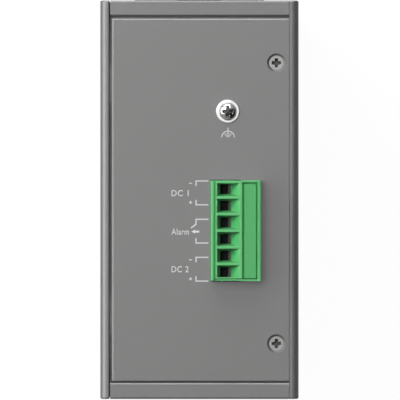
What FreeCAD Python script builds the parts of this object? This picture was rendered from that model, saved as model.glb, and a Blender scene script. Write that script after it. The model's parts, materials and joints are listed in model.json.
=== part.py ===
import FreeCAD, Part

import math
import os

# DIN rail Ethernet switch in a five-piece metal case, standing on its bottom panel.
# Millimetres. +Z is up, -Y is the front with the ports, +Y is the rail side, +X is the right side.
# The origin is the middle of the bottom face.

V = FreeCAD.Vector
along_x = V(1, 0, 0)
along_y = V(0, 1, 0)
along_z = V(0, 0, 1)

# ---- Case ----
case_width = 60.0
case_depth = 120.5
case_height = 152.0
cover_thickness = 2.8        # left and right covers
cover_edge_radius = 2.0      # their long outer edges
cover_end_radius = 0.5       # their edges at the front and rear
left_lip_radius = 0.4        # left cover's inner edges beside the top and bottom panels
left_seam = 0.2              # front and rear panels to the left cover
right_seam = 0.12            # everything to the right cover
end_wall = 2.0               # faces of the front and rear panels
end_edge_radius = 0.55
rim_inner_radius = 0.5       # inner edge of each visible rim
rim_wall = 1.8
front_rim_depth = 4.9
rear_rim_depth = 4.7
ledge_reach = 3.0            # how far each ledge runs on under the top and bottom panels
lid_thickness = 2.0          # top and bottom panels
lid_edge_radius = 0.65
lid_gap_left = 0.62
lid_gap_front = 0.4
lid_gap_rear = 0.6
tongue_width = 12.0          # two tongues on each lid hook into the left cover
tongue_offset = 35.0
tongue_thickness = 1.0
tongue_engagement = 1.1
tongue_clearance = 0.15
side_ledge_reach = 2.0       # ledge on the left cover that carries each lid's edge
side_ledge_thickness = 1.8
side_ledge_end_gap = 0.3     # to the front and rear panels' ledges

# ---- Fasteners ----
thread_clearance = 0.04
lid_screw_x = 23.28
lid_screw_front_y = -43.5
lid_screw_rear_y = 41.4
lid_screw_thread_radius = 1.25
lid_screw_head_radius = 2.25
lid_screw_length = 7.0
lid_screw_sink = 0.6         # head top below the panel's face
lid_boss_width = 8.0
lid_boss_height = 8.5
lid_boss_margin = 3.6        # boss metal beyond the screw axis
hole_reserve = 2.0           # tapped holes run on past the screw's point
cover_screw_inset = 5.3      # axis in from the front and rear faces
cover_screw_height = 12.0    # axis in from the top and bottom faces
cover_screw_thread_radius = 1.5
cover_screw_head_radius = 2.75
cover_screw_length = 8.0
cover_screw_sink = 0.15
cover_block_width = 9.0
cover_block_length = 8.0
board_screw_head_radius = 2.6
board_screw_head_height = 1.8
board_screw_thread_radius = 1.5
board_screw_length = 5.0
cross_width = 0.8            # cross recess of every screw
cross_depth = 1.0
cross_share = 0.6            # of the head's diameter
pan_shoulder_share = 0.45    # straight side of a pan head, of the head's height
pan_crown_reach = 0.72       # a point on its crown, as shares of the radius and height
pan_crown_rise = 0.86
tool_reach = 0.5             # a cutter's run past the face that it cuts
cover_bore_reserve = 1.3     # tapped hole beyond the cover screw's point

# ---- Earth terminal on the top panel ----
earth_x = 8.55
earth_y = 26.7
earth_thread_radius = 1.5
earth_head_radius = 2.65
earth_head_height = 2.2
earth_screw_length = 8.0
earth_washer_radius = 3.55
earth_washer_thickness = 0.6
earth_nut_radius = 3.0
earth_nut_flange_radius = 3.8
earth_nut_height = 2.6

# ---- Pluggable terminal ----
pole_count = 6
pole_pitch = 5.0
plug_x_low = 3.45
plug_x_high = 18.6
plug_y_high = 5.82
plug_end_margin = 0.15       # beyond the outer poles' half pitch
plug_entry_relief = 0.15     # the wire side is this much shorter at each end
plug_entry_x_high = 12.5     # where the wire side meets the screw side
plug_height = 10.0           # above the top panel
plug_edge_radius = 0.4
pin_x = 7.95
pin_size = 1.0
pin_tail = 2.4               # below the power board
pin_engagement = 5.8         # how far each pin stands in its contact
nose_width = 6.6
nose_depth = 8.2
header_wall = 0.9
header_base = 2.0
header_clearance = 0.1       # nose to header wall
header_window_gap = 0.25     # header to the top panel's window
funnel_x_low = 5.35
funnel_x_high = 12.2
funnel_width = 4.2
funnel_depth = 3.4
funnel_end_wall = 0.75       # least wall beyond the first and last funnels
entry_x_low = 6.3
entry_x_high = 9.5
entry_width = 2.9
ledge_x_low = 4.4            # shallow ledge along the wire entries
ledge_x_high = 5.15
ledge_depth = 0.35
groove_x_low = 12.9          # marker groove beside the wire entries
groove_x_high = 17.5
groove_depth = 1.0
groove_end_wall = 0.6
cap_wall = 0.35              # end cap outside its seam
cap_seam = 0.25
cap_seam_depth = 1.3
coding_rib_x = 6.8           # small rib on the plug's front end
coding_rib_width = 0.5
coding_rib_reach = 0.3
clamp_height = 4.0           # screw axis above the top panel
cage_length = 6.4
cage_width = 4.0
cage_side_wall = 0.5
cage_far_wall = 0.8
cage_thread_wall = 1.2
cage_height = 4.0
cage_x_low = 5.0             # with the clamp fully open
cage_side_clearance = 0.05
cage_top_clearance = 0.1
clamp_travel = 2.5
contact_tab_thickness = 0.8
contact_tab_width = 2.6
contact_block_size = 2.2
contact_recess = 0.85        # contact above the nose's lower end
contact_cover = 0.45         # contact's socket below the nose's upper end
contact_socket_roof = 0.75
pin_mouth = 1.4              # opening in the nose for each pin
clamp_screw_radius = 1.4
clamp_screw_head_radius = 1.95
clamp_screw_head_length = 2.0
clamp_screw_clearance = 0.05
clamp_head_clearance = 0.1
clamp_shoulder = 0.9
driver_hole_radius = 1.8
driver_slot_width = 0.6
driver_slot_depth = 0.7

# ---- Boards ----
board_thickness = 1.6
main_board_gap = 6.0         # left cover to the main board
main_board_front_gap = 0.85  # behind the front panel's wall
main_board_rear_y = 48.0
main_board_low_z = 18.0
main_board_high_z = 134.0
spacer_radius = 2.75
spacer_wall = 1.0            # solid end beyond the tapped hole
spacer_stub_radius = 1.5
spacer_stub_length = 1.5
board_hole_inset = 4.5
board_hole_front_inset = 13.0
power_board_drop = 11.0      # top panel to the power board
power_board_x_low = -14.0
power_board_x_high = 18.0
power_board_front_margin = 6.5   # in front of the terminal
power_board_y_high = 21.0
power_board_inset = 3.6
link_pin_count = 6
link_pitch = 2.54
link_pin_size = 0.64
link_y = -1.0
link_x = -12.6
link_width = 2.6
link_socket_height = 8.5
link_socket_roof = 1.5
link_header_thickness = 2.5
link_header_z = 126.4

# ---- Front ports ----
window_clearance = 0.25
port_rows = 4                # along Z
port_pitch_z = 14.0
port_pitch_x = 12.8
port_end_margin = 1.0
port_block_height = 26.2     # off the main board
port_block_depth = 25.2
port_block_low_z = 64.0
shield_wall = 0.3
port_width = 11.8
port_height = 8.2
port_depth = 13.2
latch_notch_width = 6.2
latch_notch_height = 1.6
contact_count = 8
contact_pitch = 1.02
contact_width = 0.45
contact_thickness = 0.3
contact_lift = 2.2
contact_run = 10.0
module_cage_width = 14.2
module_cage_height = 9.9
module_cage_depth = 47.7
module_cage_wall = 0.4
module_cage_low_z = 26.0
module_cage_pitch = 17.4
module_plug_width = 12.0
module_plug_height = 6.0
module_plug_depth = 9.0
lamp_rows = 3
lamp_columns = 2
lamp_low_z = 125.6
lamp_pitch = 3.4
lamp_x = -15.6
lamp_column_pitch = 4.6
lamp_radius = 1.1
lamp_hole_clearance = 0.1
lamp_recess = 0.1
lamp_pipe_length = 9.0
lamp_step = 3.2
lamp_size = 1.6
lamp_height = 0.8

# ---- Parts on the boards ----
chip_size = 24.0
chip_height = 2.0
chip_y = 2.0
chip_z = 93.0
pad_thickness = 0.5
sink_size = 28.0
sink_height = 10.0
sink_base = 2.0
sink_fins = 7
sink_fin_thickness = 1.2
transformer_length = 12.0
transformer_bevel = 0.5
transformer_width = 9.0
transformer_height = 5.5
transformer_y = -26.0
controller_size = 12.0
controller_height = 1.2
controller_y = 30.0
controller_z = 98.0
capacitor_radius = 5.0
capacitor_height = 16.0
capacitor_groove = 0.6
capacitor_y = 33.0
capacitor_low_z = 30.0
capacitor_pitch = 13.0
capacitor_count = 3
inductor_size = 12.5
inductor_corner = 1.8
inductor_height = 6.5
inductor_y = 12.0
inductor_z = 62.0
core_length = 22.0
core_width = 20.0
core_height = 15.0
core_leg = 5.0
core_base = 1.2
winding_clearance = 0.1
winding_overhang = 1.6
bobbin_flange = 1.2
core_y = 8.0
core_z = 38.0
relay_length = 15.0
relay_width = 7.5
relay_height = 9.6
relay_bevel = 0.6
relay_x = -7.0
relay_y = -17.0
choke_outer_radius = 6.0
choke_inner_radius = 2.8
choke_height = 8.0
choke_bevel = 1.2
choke_x = -3.0
choke_y = 9.0

# ---- Rail clip ----
rail_height = 35.0
rail_center_z = 84.0
rail_lip = 1.0
rail_gap = 0.25              # behind the rail's lip
rail_edge_gap = 0.3          # above and below the rail
hook_reach = 2.9             # hook tip over the rail's lip
hook_sheet = 1.5
hook_bend_radius = 0.5
hook_notch_width = 14.0
bracket_width = 40.0
bracket_low_z = 36.5
seat_drop = 3.0              # wide seat ends below the rail's lower edge
guide_low_z = 42.0
guide_high_z = 60.0
guide_lip = 4.1
bracket_screw_spacing_x = 30.0
bracket_screw_spacing_z = 20.0
bracket_screw_thread_radius = 1.5
bracket_screw_head_radius = 2.7
bracket_screw_length = 5.5
bracket_boss_radius = 3.6
bracket_boss_length = 3.2
latch_width = 24.0
latch_thickness = 3.0
latch_low_z = 29.0
latch_side_clearance = 0.15
latch_face_clearance = 0.1
latch_snap_slope = 1.4
latch_slot_width = 8.0
latch_slot_height = 3.0
latch_slot_z = 34.0
latch_lip = 2.4
latch_lip_height = 2.2
pocket_width = 17.0
pocket_low_z = 44.5
pocket_high_z = 59.5
pocket_web = 0.8
stop_width = 10.0
stop_height = 2.0
spring_strip = 0.5
spring_width = 1.6
spring_turns = 4
spring_half_width = 7.5
spring_seat_gap = 0.05

# ---- Places that follow from the values above ----
half_width = case_width / 2
half_depth = case_depth / 2
inner_x = half_width - cover_thickness
lid_x = (-inner_x + lid_gap_left, inner_x - right_seam)
lid_y = (-half_depth + front_rim_depth + lid_gap_front, half_depth - rear_rim_depth - lid_gap_rear)
lid_under_z = case_height - lid_thickness
cover_screw_y = half_depth - cover_screw_inset
lid_screw_places = [(lid_screw_x, lid_screw_front_y), (lid_screw_x, lid_screw_rear_y)]
board_face_x = -inner_x + main_board_gap + board_thickness


# ---- Shape helpers ----

def block(x, y, z):
    """A box from three (low, high) pairs."""
    return Part.makeBox(x[1] - x[0], y[1] - y[0], z[1] - z[0], V(x[0], y[0], z[0]))


def around(middle, width):
    return (middle - width / 2, middle + width / 2)


def rod(start, axis, radius, length):
    return Part.makeCylinder(radius, length, start, axis)


def fused(shapes):
    first, *others = shapes
    return first.fuse(others).removeSplitter() if others else first


def outline(corners, radii, closed=True):
    """Straight runs through the corners (vectors), each corner turned by an arc of its radius."""
    count = len(corners)
    starts = []
    ends = []
    edges = []
    for index, corner in enumerate(corners):
        at_end = not closed and index in (0, count - 1)
        radius = 0 if at_end else radii[index]
        if radius == 0:
            starts.append(corner)
            ends.append(corner)
            continue
        back = (corners[index - 1] - corner).normalize()
        ahead = (corners[(index + 1) % count] - corner).normalize()
        half_angle = back.getAngle(ahead) / 2
        setback = radius / math.tan(half_angle)
        middle = (back + ahead).normalize() * (radius / math.sin(half_angle) - radius)
        starts.append(corner + back * setback)
        ends.append(corner + ahead * setback)
        edges.append((index, Part.Arc(starts[-1], corner + middle, ends[-1]).toShape()))
    arcs = dict(edges)
    path = []
    for index in range(count):
        if index in arcs:
            path.append(arcs[index])
        following = (index + 1) % count
        if following or closed:
            if ends[index].distanceToPoint(starts[following]) > 1e-6:
                path.append(Part.LineSegment(ends[index], starts[following]).toShape())
    return Part.Wire(path)


def prism(points, plane, span, radii=None):
    """A flat outline in plane "XY", "XZ" or "YZ", carried along the third axis over span."""
    low, high = span
    lift = {"XY": lambda u, v: V(u, v, low), "XZ": lambda u, v: V(u, low, v), "YZ": lambda u, v: V(low, u, v)}
    direction = {"XY": along_z, "XZ": along_y, "YZ": along_x}[plane]
    corners = [lift[plane](u, v) for u, v in points]
    wire = outline(corners, radii or [0] * len(corners))
    solid = Part.Face(wire).extrude(direction * (high - low))
    return solid


def sheet(path, thickness, bend_radius, plane, span):
    """Sheet bent along an open path: the sheet lies to the left of the path."""
    count = len(path)
    inner = []
    inner_radii = []
    outer_radii = []
    for index, (u, v) in enumerate(path):
        before = path[max(index - 1, 0)]
        after = path[min(index + 1, count - 1)]
        normals = []
        for start, end in ((before, (u, v)), ((u, v), after)):
            length = math.hypot(end[0] - start[0], end[1] - start[1])
            if length:
                normals.append((-(end[1] - start[1]) / length, (end[0] - start[0]) / length))
        first, last = normals[0], normals[-1]
        scale = thickness / (1 + first[0] * last[0] + first[1] * last[1])
        inner.append((u + scale * (first[0] + last[0]), v + scale * (first[1] + last[1])))
        turn = last[1] * first[0] - last[0] * first[1]
        if bend_radius == 0 or abs(turn) < 1e-9:
            inner_radii.append(0)
            outer_radii.append(0)
        elif turn > 0:
            inner_radii.append(bend_radius)
            outer_radii.append(bend_radius + thickness)
        else:
            inner_radii.append(bend_radius + thickness)
            outer_radii.append(bend_radius)
    return prism(list(path) + inner[::-1], plane, span, outer_radii + inner_radii[::-1])


def lies_on(edge, x=None, y=None, z=None):
    """True when the whole edge lies in each plane that is given."""
    box = edge.BoundBox
    tolerance = 1e-4
    spans = ((x, box.XMin, box.XMax), (y, box.YMin, box.YMax), (z, box.ZMin, box.ZMax))
    return all(at is None or max(abs(low - at), abs(high - at)) < tolerance for at, low, high in spans)


def rounded(shape, radius, choose):
    return shape.makeFillet(radius, [edge for edge in shape.Edges if choose(edge)])


def bevelled(shape, width, choose):
    return shape.makeChamfer(width, [edge for edge in shape.Edges if choose(edge)])


def turned(profile):
    """A solid turned about Z from (radius, height) points."""
    face = Part.Face(Part.makePolygon([V(r, 0, z) for r, z in profile + profile[:1]]))
    return face.revolve(V(0, 0, 0), along_z, 360)


def aimed(shape, place, direction):
    """The shape, drawn up the Z axis from its own origin, moved to place and pointed along direction."""
    moved = shape.copy()
    moved.Placement = FreeCAD.Placement(place, FreeCAD.Rotation(along_z, direction))
    return moved


# ---- Fasteners ----

def cross_recess(head_radius):
    """The tool for a cross recess whose mouth is at z = 0."""
    reach = head_radius * cross_share
    half = cross_width / 2
    bars = [block((-reach, reach), (-half, half), (-cross_depth, 1)),
            block((-half, half), (-reach, reach), (-cross_depth, 1))]
    return fused(bars)


def countersunk_screw(head_radius, thread_radius, length):
    """Head's flat top at z = 0, point towards -Z."""
    neck = head_radius - thread_radius
    body = turned([(0, 0), (head_radius, 0), (thread_radius, -neck), (thread_radius, -length), (0, -length)])
    return body.cut(cross_recess(head_radius))


def countersink(head_radius, thread_radius, sink, depth):
    """The hole for a countersunk screw whose head lies below the face at z = 0."""
    mouth = head_radius + sink
    hole = thread_radius + thread_clearance
    return turned([(0, tool_reach), (mouth + tool_reach, tool_reach), (hole, hole - mouth),
                   (hole, -depth), (0, -depth)])


def pan_screw(head_radius, head_height, thread_radius, length):
    """Head's underside at z = 0, point towards -Z."""
    shoulder = head_height * pan_shoulder_share
    middle = V(head_radius * pan_crown_reach, 0, head_height * pan_crown_rise)
    crown = Part.Arc(V(head_radius, 0, shoulder), middle, V(0, 0, head_height)).toShape()
    sides = Part.makePolygon([V(0, 0, head_height), V(0, 0, -length), V(thread_radius, 0, -length),
                              V(thread_radius, 0, 0), V(head_radius, 0, 0), V(head_radius, 0, shoulder)])
    body = Part.Face(Part.Wire(sides.Edges + [crown])).revolve(V(0, 0, 0), along_z, 360)
    recess = cross_recess(head_radius)
    recess.translate(V(0, 0, head_height))
    return body.cut(recess)


def board_screw():
    """Small cheese-head screw, underside of its head at z = 0, point towards -Z."""
    rim = board_screw_head_radius
    thread = board_screw_thread_radius
    return turned([(0, board_screw_head_height), (rim, board_screw_head_height), (rim, 0), (thread, 0),
                   (thread, -board_screw_length), (0, -board_screw_length)])


# ---- Case ----

def cover_screw_places():
    """Screw axes on either side cover, as (y, z)."""
    heights = (cover_screw_height, case_height - cover_screw_height)
    return [(y, z) for y in (-cover_screw_y, cover_screw_y) for z in heights]


def cover_plate(lip_radius):
    """The left cover's plate: long edges rounded in its section, ends eased but for their seam edges."""
    corners = [(-half_width, 0), (-inner_x, 0), (-inner_x, case_height), (-half_width, case_height)]
    radii = [cover_edge_radius, 0, 0, cover_edge_radius]
    plate = prism(corners, "XZ", (-half_depth, half_depth), radii)
    plate = rounded(plate, cover_end_radius,
                    lambda edge: not lies_on(edge, x=-inner_x)
                    and (lies_on(edge, y=-half_depth) or lies_on(edge, y=half_depth)))
    if lip_radius == 0:
        return plate
    return rounded(plate, lip_radius,
                   lambda edge: lies_on(edge, x=-inner_x, z=0) or lies_on(edge, x=-inner_x, z=case_height))


def cover_screw_holes(outward):
    depth = cover_thickness + tool_reach
    tool = countersink(cover_screw_head_radius, cover_screw_thread_radius, cover_screw_sink, depth)
    return [aimed(tool, V(outward * half_width, y, z), V(outward, 0, 0)) for y, z in cover_screw_places()]


def board_hole_places():
    """Main board fixings as (y, z), the front ones clear of the front panel's corner blocks."""
    low_y = -half_depth + end_wall + main_board_front_gap + board_hole_front_inset
    ys = (low_y, main_board_rear_y - board_hole_inset)
    zs = (main_board_low_z + board_hole_inset, main_board_high_z - board_hole_inset)
    return [(y, z) for y in ys for z in zs]


def side_ledges():
    """The left cover's ledges under the lids, between the ledges of the front and rear panels."""
    end_y = ledge_reach + side_ledge_end_gap
    x = (-inner_x - cover_thickness / 2, -inner_x + side_ledge_reach)
    y = (lid_y[0] + end_y, lid_y[1] - end_y)
    return [block(x, y, (low, low + side_ledge_thickness))
            for low in (lid_thickness, lid_under_z - side_ledge_thickness)]


def left_side_cover():
    cover = fused([cover_plate(left_lip_radius)] + side_ledges())
    depth = tongue_engagement + tongue_clearance
    slots = []
    for y in (-tongue_offset, tongue_offset):
        for z in (lid_thickness - tongue_thickness / 2, case_height - lid_thickness + tongue_thickness / 2):
            width = tongue_width + 2 * tongue_clearance
            height = tongue_thickness + 2 * tongue_clearance
            slots.append(block((-inner_x - depth, -inner_x + 1), around(y, width), around(z, height)))
    stubs = [rod(V(-inner_x - spacer_stub_length, y, z), along_x, spacer_stub_radius + thread_clearance, 10)
             for y, z in board_hole_places()]
    return cover.cut(slots + stubs + cover_screw_holes(-1))


def right_side_cover():
    plate = cover_plate(0).mirror(V(0, 0, 0), along_x)
    bosses = []
    holes = []
    inner_edge = lid_screw_x - lid_boss_margin
    for x, y in lid_screw_places:
        for low in (lid_thickness, lid_under_z - lid_boss_height):
            z = (low, low + lid_boss_height)
            bosses.append(block((inner_edge, inner_x), around(y, lid_boss_width), z))
        hole_depth = lid_screw_length + hole_reserve
        for low in (0, case_height - hole_depth):
            holes.append(rod(V(x, y, low), along_z, lid_screw_thread_radius + thread_clearance, hole_depth))
    return fused([plate] + bosses).cut(holes + cover_screw_holes(1))


def lid():
    """The bottom panel: flat, with two tongues on the left edge and two countersinks on the right."""
    plate = block(lid_x, lid_y, (0, lid_thickness))

    def outer_rim(edge):
        return lies_on(edge, z=0) and (lies_on(edge, x=lid_x[0]) or lies_on(edge, y=lid_y[1]))

    plate = rounded(plate, lid_edge_radius, outer_rim)
    plate = rounded(plate, lid_edge_radius / 2, lambda edge: lies_on(edge, y=lid_y[0], z=0))
    tongue_tip = -inner_x - tongue_engagement
    upper_half = (lid_thickness - tongue_thickness, lid_thickness)
    tongues = [block((tongue_tip, lid_x[0] + 1), around(y, tongue_width), upper_half)
               for y in (-tongue_offset, tongue_offset)]
    tool = countersink(lid_screw_head_radius, lid_screw_thread_radius, lid_screw_sink, lid_thickness + tool_reach)
    holes = [aimed(tool, V(x, y, 0), V(0, 0, -1)) for x, y in lid_screw_places]
    return fused([plate] + tongues).cut(holes)


def terminal_y():
    """Plug length along Y, from its front end to its rear end."""
    return (plug_y_high - pole_count * pole_pitch - 2 * plug_end_margin, plug_y_high)


def header_x():
    half = nose_width / 2 + header_clearance + header_wall
    return (pin_x - half, pin_x + half)


def wider(span, margin):
    return (span[0] - margin, span[1] + margin)


def earth_bore(low, length):
    """The tool that clears the earth screw's thread."""
    return rod(V(earth_x, earth_y, low), along_z, earth_thread_radius + thread_clearance, length)


def top_panel():
    panel = lid().mirror(V(0, 0, case_height / 2), along_z)
    window = block(wider(header_x(), header_window_gap), wider(terminal_y(), header_window_gap),
                   (lid_under_z - 1, case_height + 1))
    earth_hole = earth_bore(lid_under_z - 1, lid_thickness + 2)
    return panel.cut([window, earth_hole])


def end_panel(outward, rim_depth):
    """Front or rear panel: a face with a rim all round, stepped at top and bottom to carry the lids."""
    def inwards(shallow, deep):
        return tuple(sorted((outward * (half_depth - shallow), outward * (half_depth - deep))))

    lid_edge = abs(lid_y[0] if outward < 0 else lid_y[1])
    ledge_depth = half_depth - lid_edge + ledge_reach
    outer_x = (-inner_x + left_seam, inner_x - right_seam)
    body = block(outer_x, inwards(0, ledge_depth), (0, case_height))
    face_y = outward * half_depth
    body = rounded(body, end_edge_radius,
                   lambda edge: lies_on(edge, y=face_y, z=0) or lies_on(edge, y=face_y, z=case_height))
    step = lid_thickness + rim_wall
    body = body.cut([
        block(wider(outer_x, -rim_wall), inwards(end_wall, ledge_depth + 1), (step, case_height - step)),
        block(wider(outer_x, 1), inwards(rim_depth, ledge_depth + 1), (lid_under_z, case_height + 1)),
        block(wider(outer_x, 1), inwards(rim_depth, ledge_depth + 1), (-1, lid_thickness))])
    rim_y = outward * (half_depth - rim_depth)
    body = rounded(body, rim_inner_radius,
                   lambda edge: lies_on(edge, y=rim_y, z=0) or lies_on(edge, y=rim_y, z=case_height))
    blocks = []
    holes = []
    bore_depth = cover_screw_length - cover_thickness + cover_bore_reserve
    for side in (-1, 1):
        reach = tuple(sorted((side * (inner_x - cover_block_length), side * inner_x)))
        for y, z in cover_screw_places():
            if y * outward < 0:
                continue
            deep = cover_screw_inset + cover_block_width / 2
            blocks.append(block(reach, inwards(end_wall / 2, deep), around(z, cover_block_width)))
            bore = cover_screw_thread_radius + thread_clearance
            start = V(side * inner_x, y, z)
            holes.append(rod(start, V(-side, 0, 0), bore, bore_depth))
    return fused([body] + blocks).cut(holes)


def port_block_x():
    return (board_face_x, board_face_x + port_block_height)


def port_block_z():
    return (port_block_low_z, port_block_low_z + port_rows * port_pitch_z + 2 * port_end_margin)


def module_cage_spans():
    """X span and the Z spans of the two module cages."""
    lows = [module_cage_low_z + index * module_cage_pitch for index in range(2)]
    x = (board_face_x, board_face_x + module_cage_height)
    return x, [(low, low + module_cage_width) for low in lows]


def lamp_places():
    """Each light pipe as (x, z, y of its back end): the outer column reaches past the inner one."""
    front = -half_depth + lamp_recess
    return [(lamp_x + column * lamp_column_pitch, lamp_low_z + row * lamp_pitch,
             front + lamp_pipe_length + column * lamp_step)
            for column in range(lamp_columns) for row in range(lamp_rows)]


def front_panel():
    panel = end_panel(-1, front_rim_depth)
    through = (-half_depth - 1, -half_depth + end_wall + 1)
    cage_x, cage_zs = module_cage_spans()
    mouths = [(port_block_x(), port_block_z())] + [(cage_x, z) for z in cage_zs]
    windows = [block(wider(x, window_clearance), through, wider(z, window_clearance)) for x, z in mouths]
    lamp_hole = lamp_radius + lamp_hole_clearance
    windows += [rod(V(x, through[0], z), along_y, lamp_hole, end_wall + 2) for x, z, back in lamp_places()]
    return panel.cut(windows)


def bracket_screw_places():
    """Rail bracket screws on the rear panel, as (x, z)."""
    xs = around(0, bracket_screw_spacing_x)
    zs = around(rail_center_z, bracket_screw_spacing_z)
    return [(x, z) for x in xs for z in zs]


def rear_panel():
    middle_y = half_depth - end_wall / 2
    depth = end_wall / 2 + bracket_boss_length
    bosses = [rod(V(x, middle_y, z), -along_y, bracket_boss_radius, depth) for x, z in bracket_screw_places()]
    bore = bracket_screw_thread_radius + thread_clearance
    holes = [rod(V(x, half_depth + 1, z), -along_y, bore, 2 * depth) for x, z in bracket_screw_places()]
    return fused([end_panel(1, rear_rim_depth)] + bosses).cut(holes)


def side_cover_screws():
    screw = countersunk_screw(cover_screw_head_radius, cover_screw_thread_radius, cover_screw_length)
    head_x = half_width - cover_screw_sink
    return Part.makeCompound([aimed(screw, V(side * head_x, y, z), V(side, 0, 0))
                              for side in (-1, 1) for y, z in cover_screw_places()])


def lid_screws(up):
    screw = countersunk_screw(lid_screw_head_radius, lid_screw_thread_radius, lid_screw_length)
    z = case_height - lid_screw_sink if up else lid_screw_sink
    outward = along_z if up else -along_z
    return Part.makeCompound([aimed(screw, V(x, y, z), outward) for x, y in lid_screw_places])


# ---- Earth terminal ----

def earth_washer():
    ring = rod(V(earth_x, earth_y, case_height), along_z, earth_washer_radius, earth_washer_thickness)
    ring = ring.cut(earth_bore(case_height - 1, earth_washer_thickness + 2))
    top = case_height + earth_washer_thickness
    around_hole = 2 * math.pi * earth_thread_radius + 1
    return bevelled(ring, earth_washer_thickness / 4,
                    lambda edge: lies_on(edge, z=top) and edge.Length > around_hole)


def earth_screw():
    screw = pan_screw(earth_head_radius, earth_head_height, earth_thread_radius, earth_screw_length)
    return aimed(screw, V(earth_x, earth_y, case_height + earth_washer_thickness), along_z)


def earth_nut():
    """Clinch nut pressed in under the top panel: a flange against the sheet and a plain barrel."""
    start = V(earth_x, earth_y, lid_under_z)
    flange = rod(start, -along_z, earth_nut_flange_radius, earth_nut_height / 3)
    barrel = rod(start, -along_z, earth_nut_radius, earth_nut_height)
    return fused([flange, barrel]).cut(earth_bore(lid_under_z - 2 * earth_nut_height, 3 * earth_nut_height))


# ---- Pluggable terminal ----
# The plug drops straight down into the header. Each wire goes down its funnel into a lifting cage, and
# the clamp screw, turned from the right, draws the cage against the contact.

def pole_y(pole):
    return plug_y_high - plug_end_margin - (pole + 0.5) * pole_pitch


def clamp_z():
    return case_height + clamp_height


def nose_low_z():
    return case_height - nose_depth


def contact_tab_x():
    """The tab stands where the wire entry meets the open cage's clamping space."""
    return (entry_x_high - contact_tab_thickness, entry_x_high)


def clamp_chamber_x():
    low = cage_x_low - cage_top_clearance
    return (low, cage_x_low + cage_length + clamp_travel + 2 * cage_top_clearance)


def clamp_head_x():
    start = clamp_chamber_x()[1] + clamp_shoulder
    return (start, start + clamp_screw_head_length)


def plug_body():
    """The plug's outside: wire side with its ledge, screw side with the marker groove, caps at both ends."""
    y = terminal_y()
    low_y, high_y = wider(y, -plug_entry_relief)
    top = case_height + plug_height
    ledge = top - ledge_depth
    wire_section = [(plug_x_low, case_height), (plug_entry_x_high, case_height), (plug_entry_x_high, top),
                    (ledge_x_high, top), (ledge_x_high, ledge), (ledge_x_low, ledge), (ledge_x_low, top),
                    (plug_x_low, top)]
    edge = plug_edge_radius
    wire_side = prism(wire_section, "XZ", (low_y, high_y), [0, 0, 0, 0, 0, 0, 0, edge])
    screw_section = [(plug_entry_x_high, case_height), (plug_x_high, case_height), (plug_x_high, top),
                     (plug_entry_x_high, top)]
    screw_side = prism(screw_section, "XZ", y, [0, 0, edge, 0])
    nose = block(around(pin_x, nose_width), y, (nose_low_z(), case_height))
    rib = block(around(coding_rib_x, coding_rib_width), (low_y - coding_rib_reach, low_y + 1),
                (case_height + coding_rib_reach, top - coding_rib_reach))
    groove = block((groove_x_low, groove_x_high), wider(y, -groove_end_wall), (top - groove_depth, top + 1))
    seam_y = (low_y + cap_wall, low_y + cap_wall + cap_seam)
    seam = block((ledge_x_low, groove_x_high), seam_y, (top - cap_seam_depth, top + 1))
    return fused([wire_side, screw_side, nose, rib]).cut([groove, seam])


def frustum(low_x, low_y, low_z, high_x, high_y, high_z):
    """A flat-sided tool between two level rectangles."""
    corners = [[V(x[0], y[0], z), V(x[1], y[0], z), V(x[1], y[1], z), V(x[0], y[1], z)]
               for x, y, z in ((low_x, low_y, low_z), (high_x, high_y, high_z))]
    low, high = corners
    loops = [low[::-1], high]
    for index in range(4):
        following = (index + 1) % 4
        loops.append([low[index], low[following], high[following], high[index]])
    faces = []
    for loop in loops:
        for triangle in (loop[:3], [loop[0], loop[2], loop[3]]):
            faces.append(Part.Face(Part.makePolygon(triangle + triangle[:1])))
    return Part.Solid(Part.Shell(faces)).removeSplitter()


def funnel_span(pole):
    """Mouth of a funnel along Y, kept off the end walls."""
    low_y, high_y = wider(terminal_y(), -plug_entry_relief)
    low, high = around(pole_y(pole), funnel_width)
    front_wall = cap_wall + cap_seam + funnel_end_wall / 2
    return (max(low, low_y + front_wall), min(high, high_y - funnel_end_wall))


def plug_housing():
    top = case_height + plug_height
    thread_bore = clamp_screw_radius + clamp_screw_clearance
    head_bore = clamp_screw_head_radius + clamp_screw_clearance
    socket = contact_block_size + 2 * cage_side_clearance
    chamber_x = clamp_chamber_x()
    head_x = clamp_head_x()
    tab_x = wider(contact_tab_x(), cage_side_clearance)
    tab_z = (contact_socket_z()[1] - contact_socket_roof, clamp_z())
    nose_low = nose_low_z()
    entry_x = (entry_x_low, entry_x_high)
    tools = []
    for pole in range(pole_count):
        y = pole_y(pole)
        tools += [
            frustum(entry_x, around(y, entry_width), top - funnel_depth,
                    (funnel_x_low, funnel_x_high), funnel_span(pole), top),
            block(entry_x, around(y, entry_width), (clamp_z(), top - funnel_depth)),
            block(chamber_x, around(y, cage_width + 2 * cage_side_clearance),
                  around(clamp_z(), cage_height + 2 * cage_top_clearance)),
            block(tab_x, wider(around(y, contact_tab_width), cage_side_clearance), tab_z),
            block(around(pin_x, socket), around(y, socket), wider(contact_socket_z(), cage_side_clearance)),
            block(around(pin_x, pin_mouth), around(y, pin_mouth), (nose_low - 1, nose_low + 1)),
            rod(V(entry_x_high, y, clamp_z()), along_x, thread_bore, plug_x_high - entry_x_high),
            rod(V(head_x[0], y, clamp_z()), along_x, head_bore, clamp_screw_head_length + clamp_head_clearance),
            rod(V(head_x[0], y, clamp_z()), along_x, driver_hole_radius, plug_x_high - entry_x_high)]
    return plug_body().cut(tools)


def contact_socket_z():
    return (nose_low_z() + contact_recess, case_height - contact_cover)


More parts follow.
